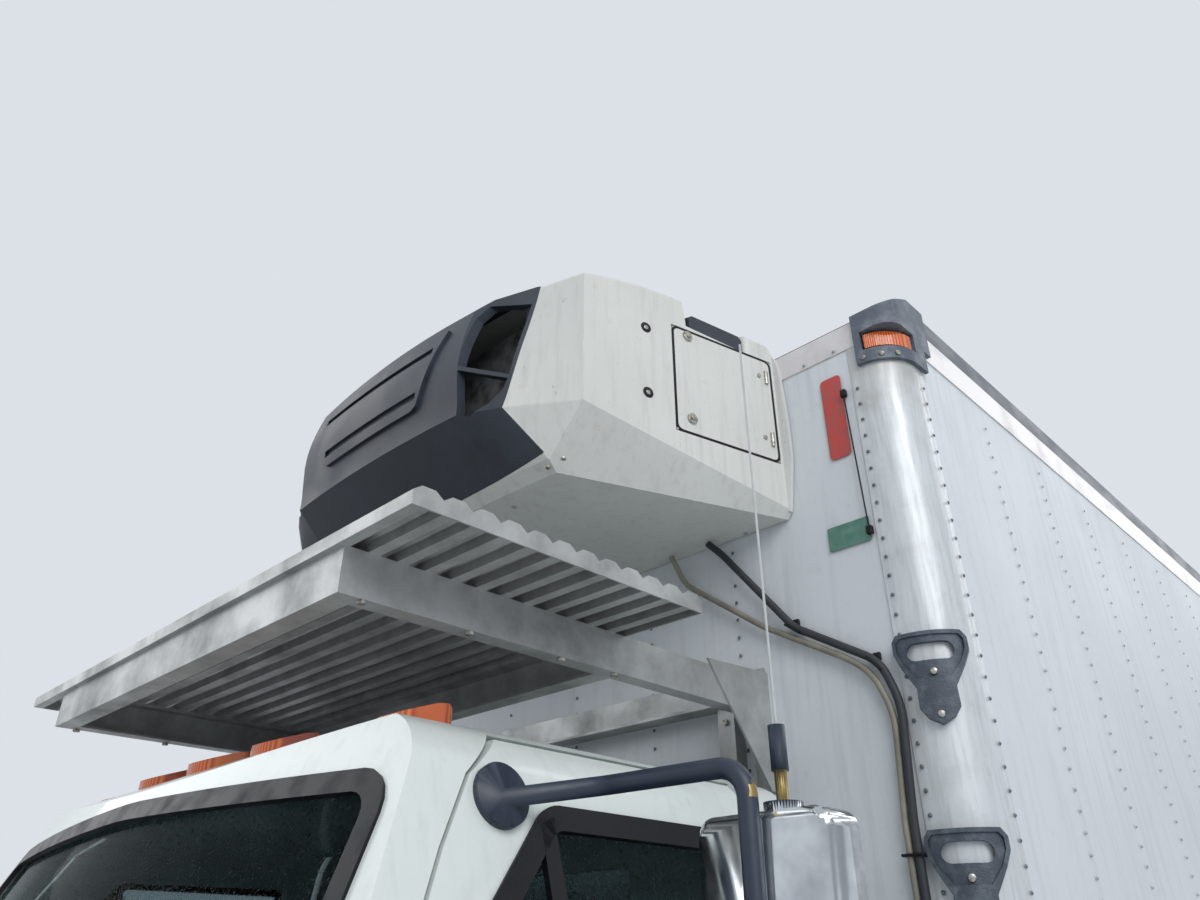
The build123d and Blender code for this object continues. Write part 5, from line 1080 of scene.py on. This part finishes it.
# each row: name, x of the face under the nuts, y of the axle, body
WHEEL_FACES = (("front", 1182, FRONT_AXLE_Y, "front_wheel"), ("rear", 931, REAR_AXLE_Y, "rear_wheels"))
wheel_white = Finish("wheel_white", (214, 214, 210), 0.4, coat=0.3)
brake_dust = wheel_white.ramp(wheel_white.noise(12, 6, 0.6), 0.45, 0.75)
wheel_white.tones(brake_dust * 0.5, (216, 216, 212), (120, 112, 102))
wheel_white.set("Roughness", 0.36 + brake_dust * 0.3)
dress(wheel_white, "rim_front_left", "rim_front_right", "rims_rear_left", "rims_rear_right")
for name, face_x, axle_y, body in WHEEL_FACES:
    nuts = []
    for index in range(NUT_COUNT):
        angle = math.tau * index / NUT_COUNT
        foot = spot(face_x, axle_y + NUT_CIRCLE * math.cos(angle), WHEEL_Z + NUT_CIRCLE * math.sin(angle))
        nuts.append(pin(foot, (1, 0, 0), *WHEEL_NUT))
        nuts.append(pin(foot, (1, 0, 0), *WHEEL_STUD))
    left = joined(*nuts)
    finished(twin(left), f"{name}_nuts_right", zinc, f"{body}_right")
    finished(left, f"{name}_nuts_left", zinc, f"{body}_left")

# Tyres: black rubber with rounded side walls and four grooves round the tread, greyed by road dust.
# One half of the section is mirrored, spun round the axle, and copied to all six places.
TYRE_SPIN_STEPS = 72
TYRE_MERGE = 0.0001
TYRE_SMOOTH = 28
# each row: distance from the tyre's middle, radius
TYRE_HALF_SECTION = (
    (88.5, 292), (106, 316), (122, 349), (127, 378), (125, 408), (119, 434), (110, 452), (95.5, 464),
    (70, 465), (68, 453), (59, 453), (57, 465), (28, 465), (26, 453), (17, 453), (15, 465))
# each row: name of the node, x places on the left, y of the axle, body
TYRES = (
    ("tyre_front", (1015,), FRONT_AXLE_Y, "front_wheel"),
    ("tyres_rear", (744, 1087), REAR_AXLE_Y, "rear_wheels"),
)
tyre_section = TYRE_HALF_SECTION + tuple((-x, r) for x, r in reversed(TYRE_HALF_SECTION))
master = plate([Vector((x, 0, r)) / 1000 for x, r in tyre_section])
chosen(master, lambda centre, normal: True, "FACE")
bpy.ops.mesh.delete(type="ONLY_FACE")
bpy.ops.mesh.select_all(action="SELECT")
bpy.ops.mesh.spin(steps=TYRE_SPIN_STEPS, angle=math.tau, center=(0, 0, 0), axis=(1, 0, 0))
bpy.ops.mesh.select_all(action="SELECT")
bpy.ops.mesh.remove_doubles(threshold=TYRE_MERGE)
bpy.ops.mesh.normals_make_consistent(inside=False)
bpy.ops.object.mode_set(mode="OBJECT")
tyre_rubber = Finish("tyre", (38, 38, 39), 0.8)
road_dust = tyre_rubber.ramp(tyre_rubber.noise(8, 6, 0.6), 0.4, 0.75)
tyre_rubber.tones(road_dust * 0.6, (34, 34, 35), (84, 80, 74))
tyre_rubber.set("Roughness", 0.74 + road_dust * 0.2)
tyre_rubber.relief(tyre_rubber.noise(180, 3), 0.0015)
for node, places, axle_y, body in TYRES:
    for side, end in ((1, "left"), (-1, "right")):
        rings = []
        for x in places:
            only(master)
            bpy.ops.object.duplicate()
            bpy.context.object.location = spot(side * x, axle_y, WHEEL_Z)
            rings.append(settled(bpy.context.object))
        tyre = joined(*rings)
        finished(tyre, f"{node}_{end}_treaded", tyre_rubber, f"{body}_{end}", TYRE_SMOOTH)
        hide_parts(f"{node}_{end}")
bpy.data.objects.remove(master)
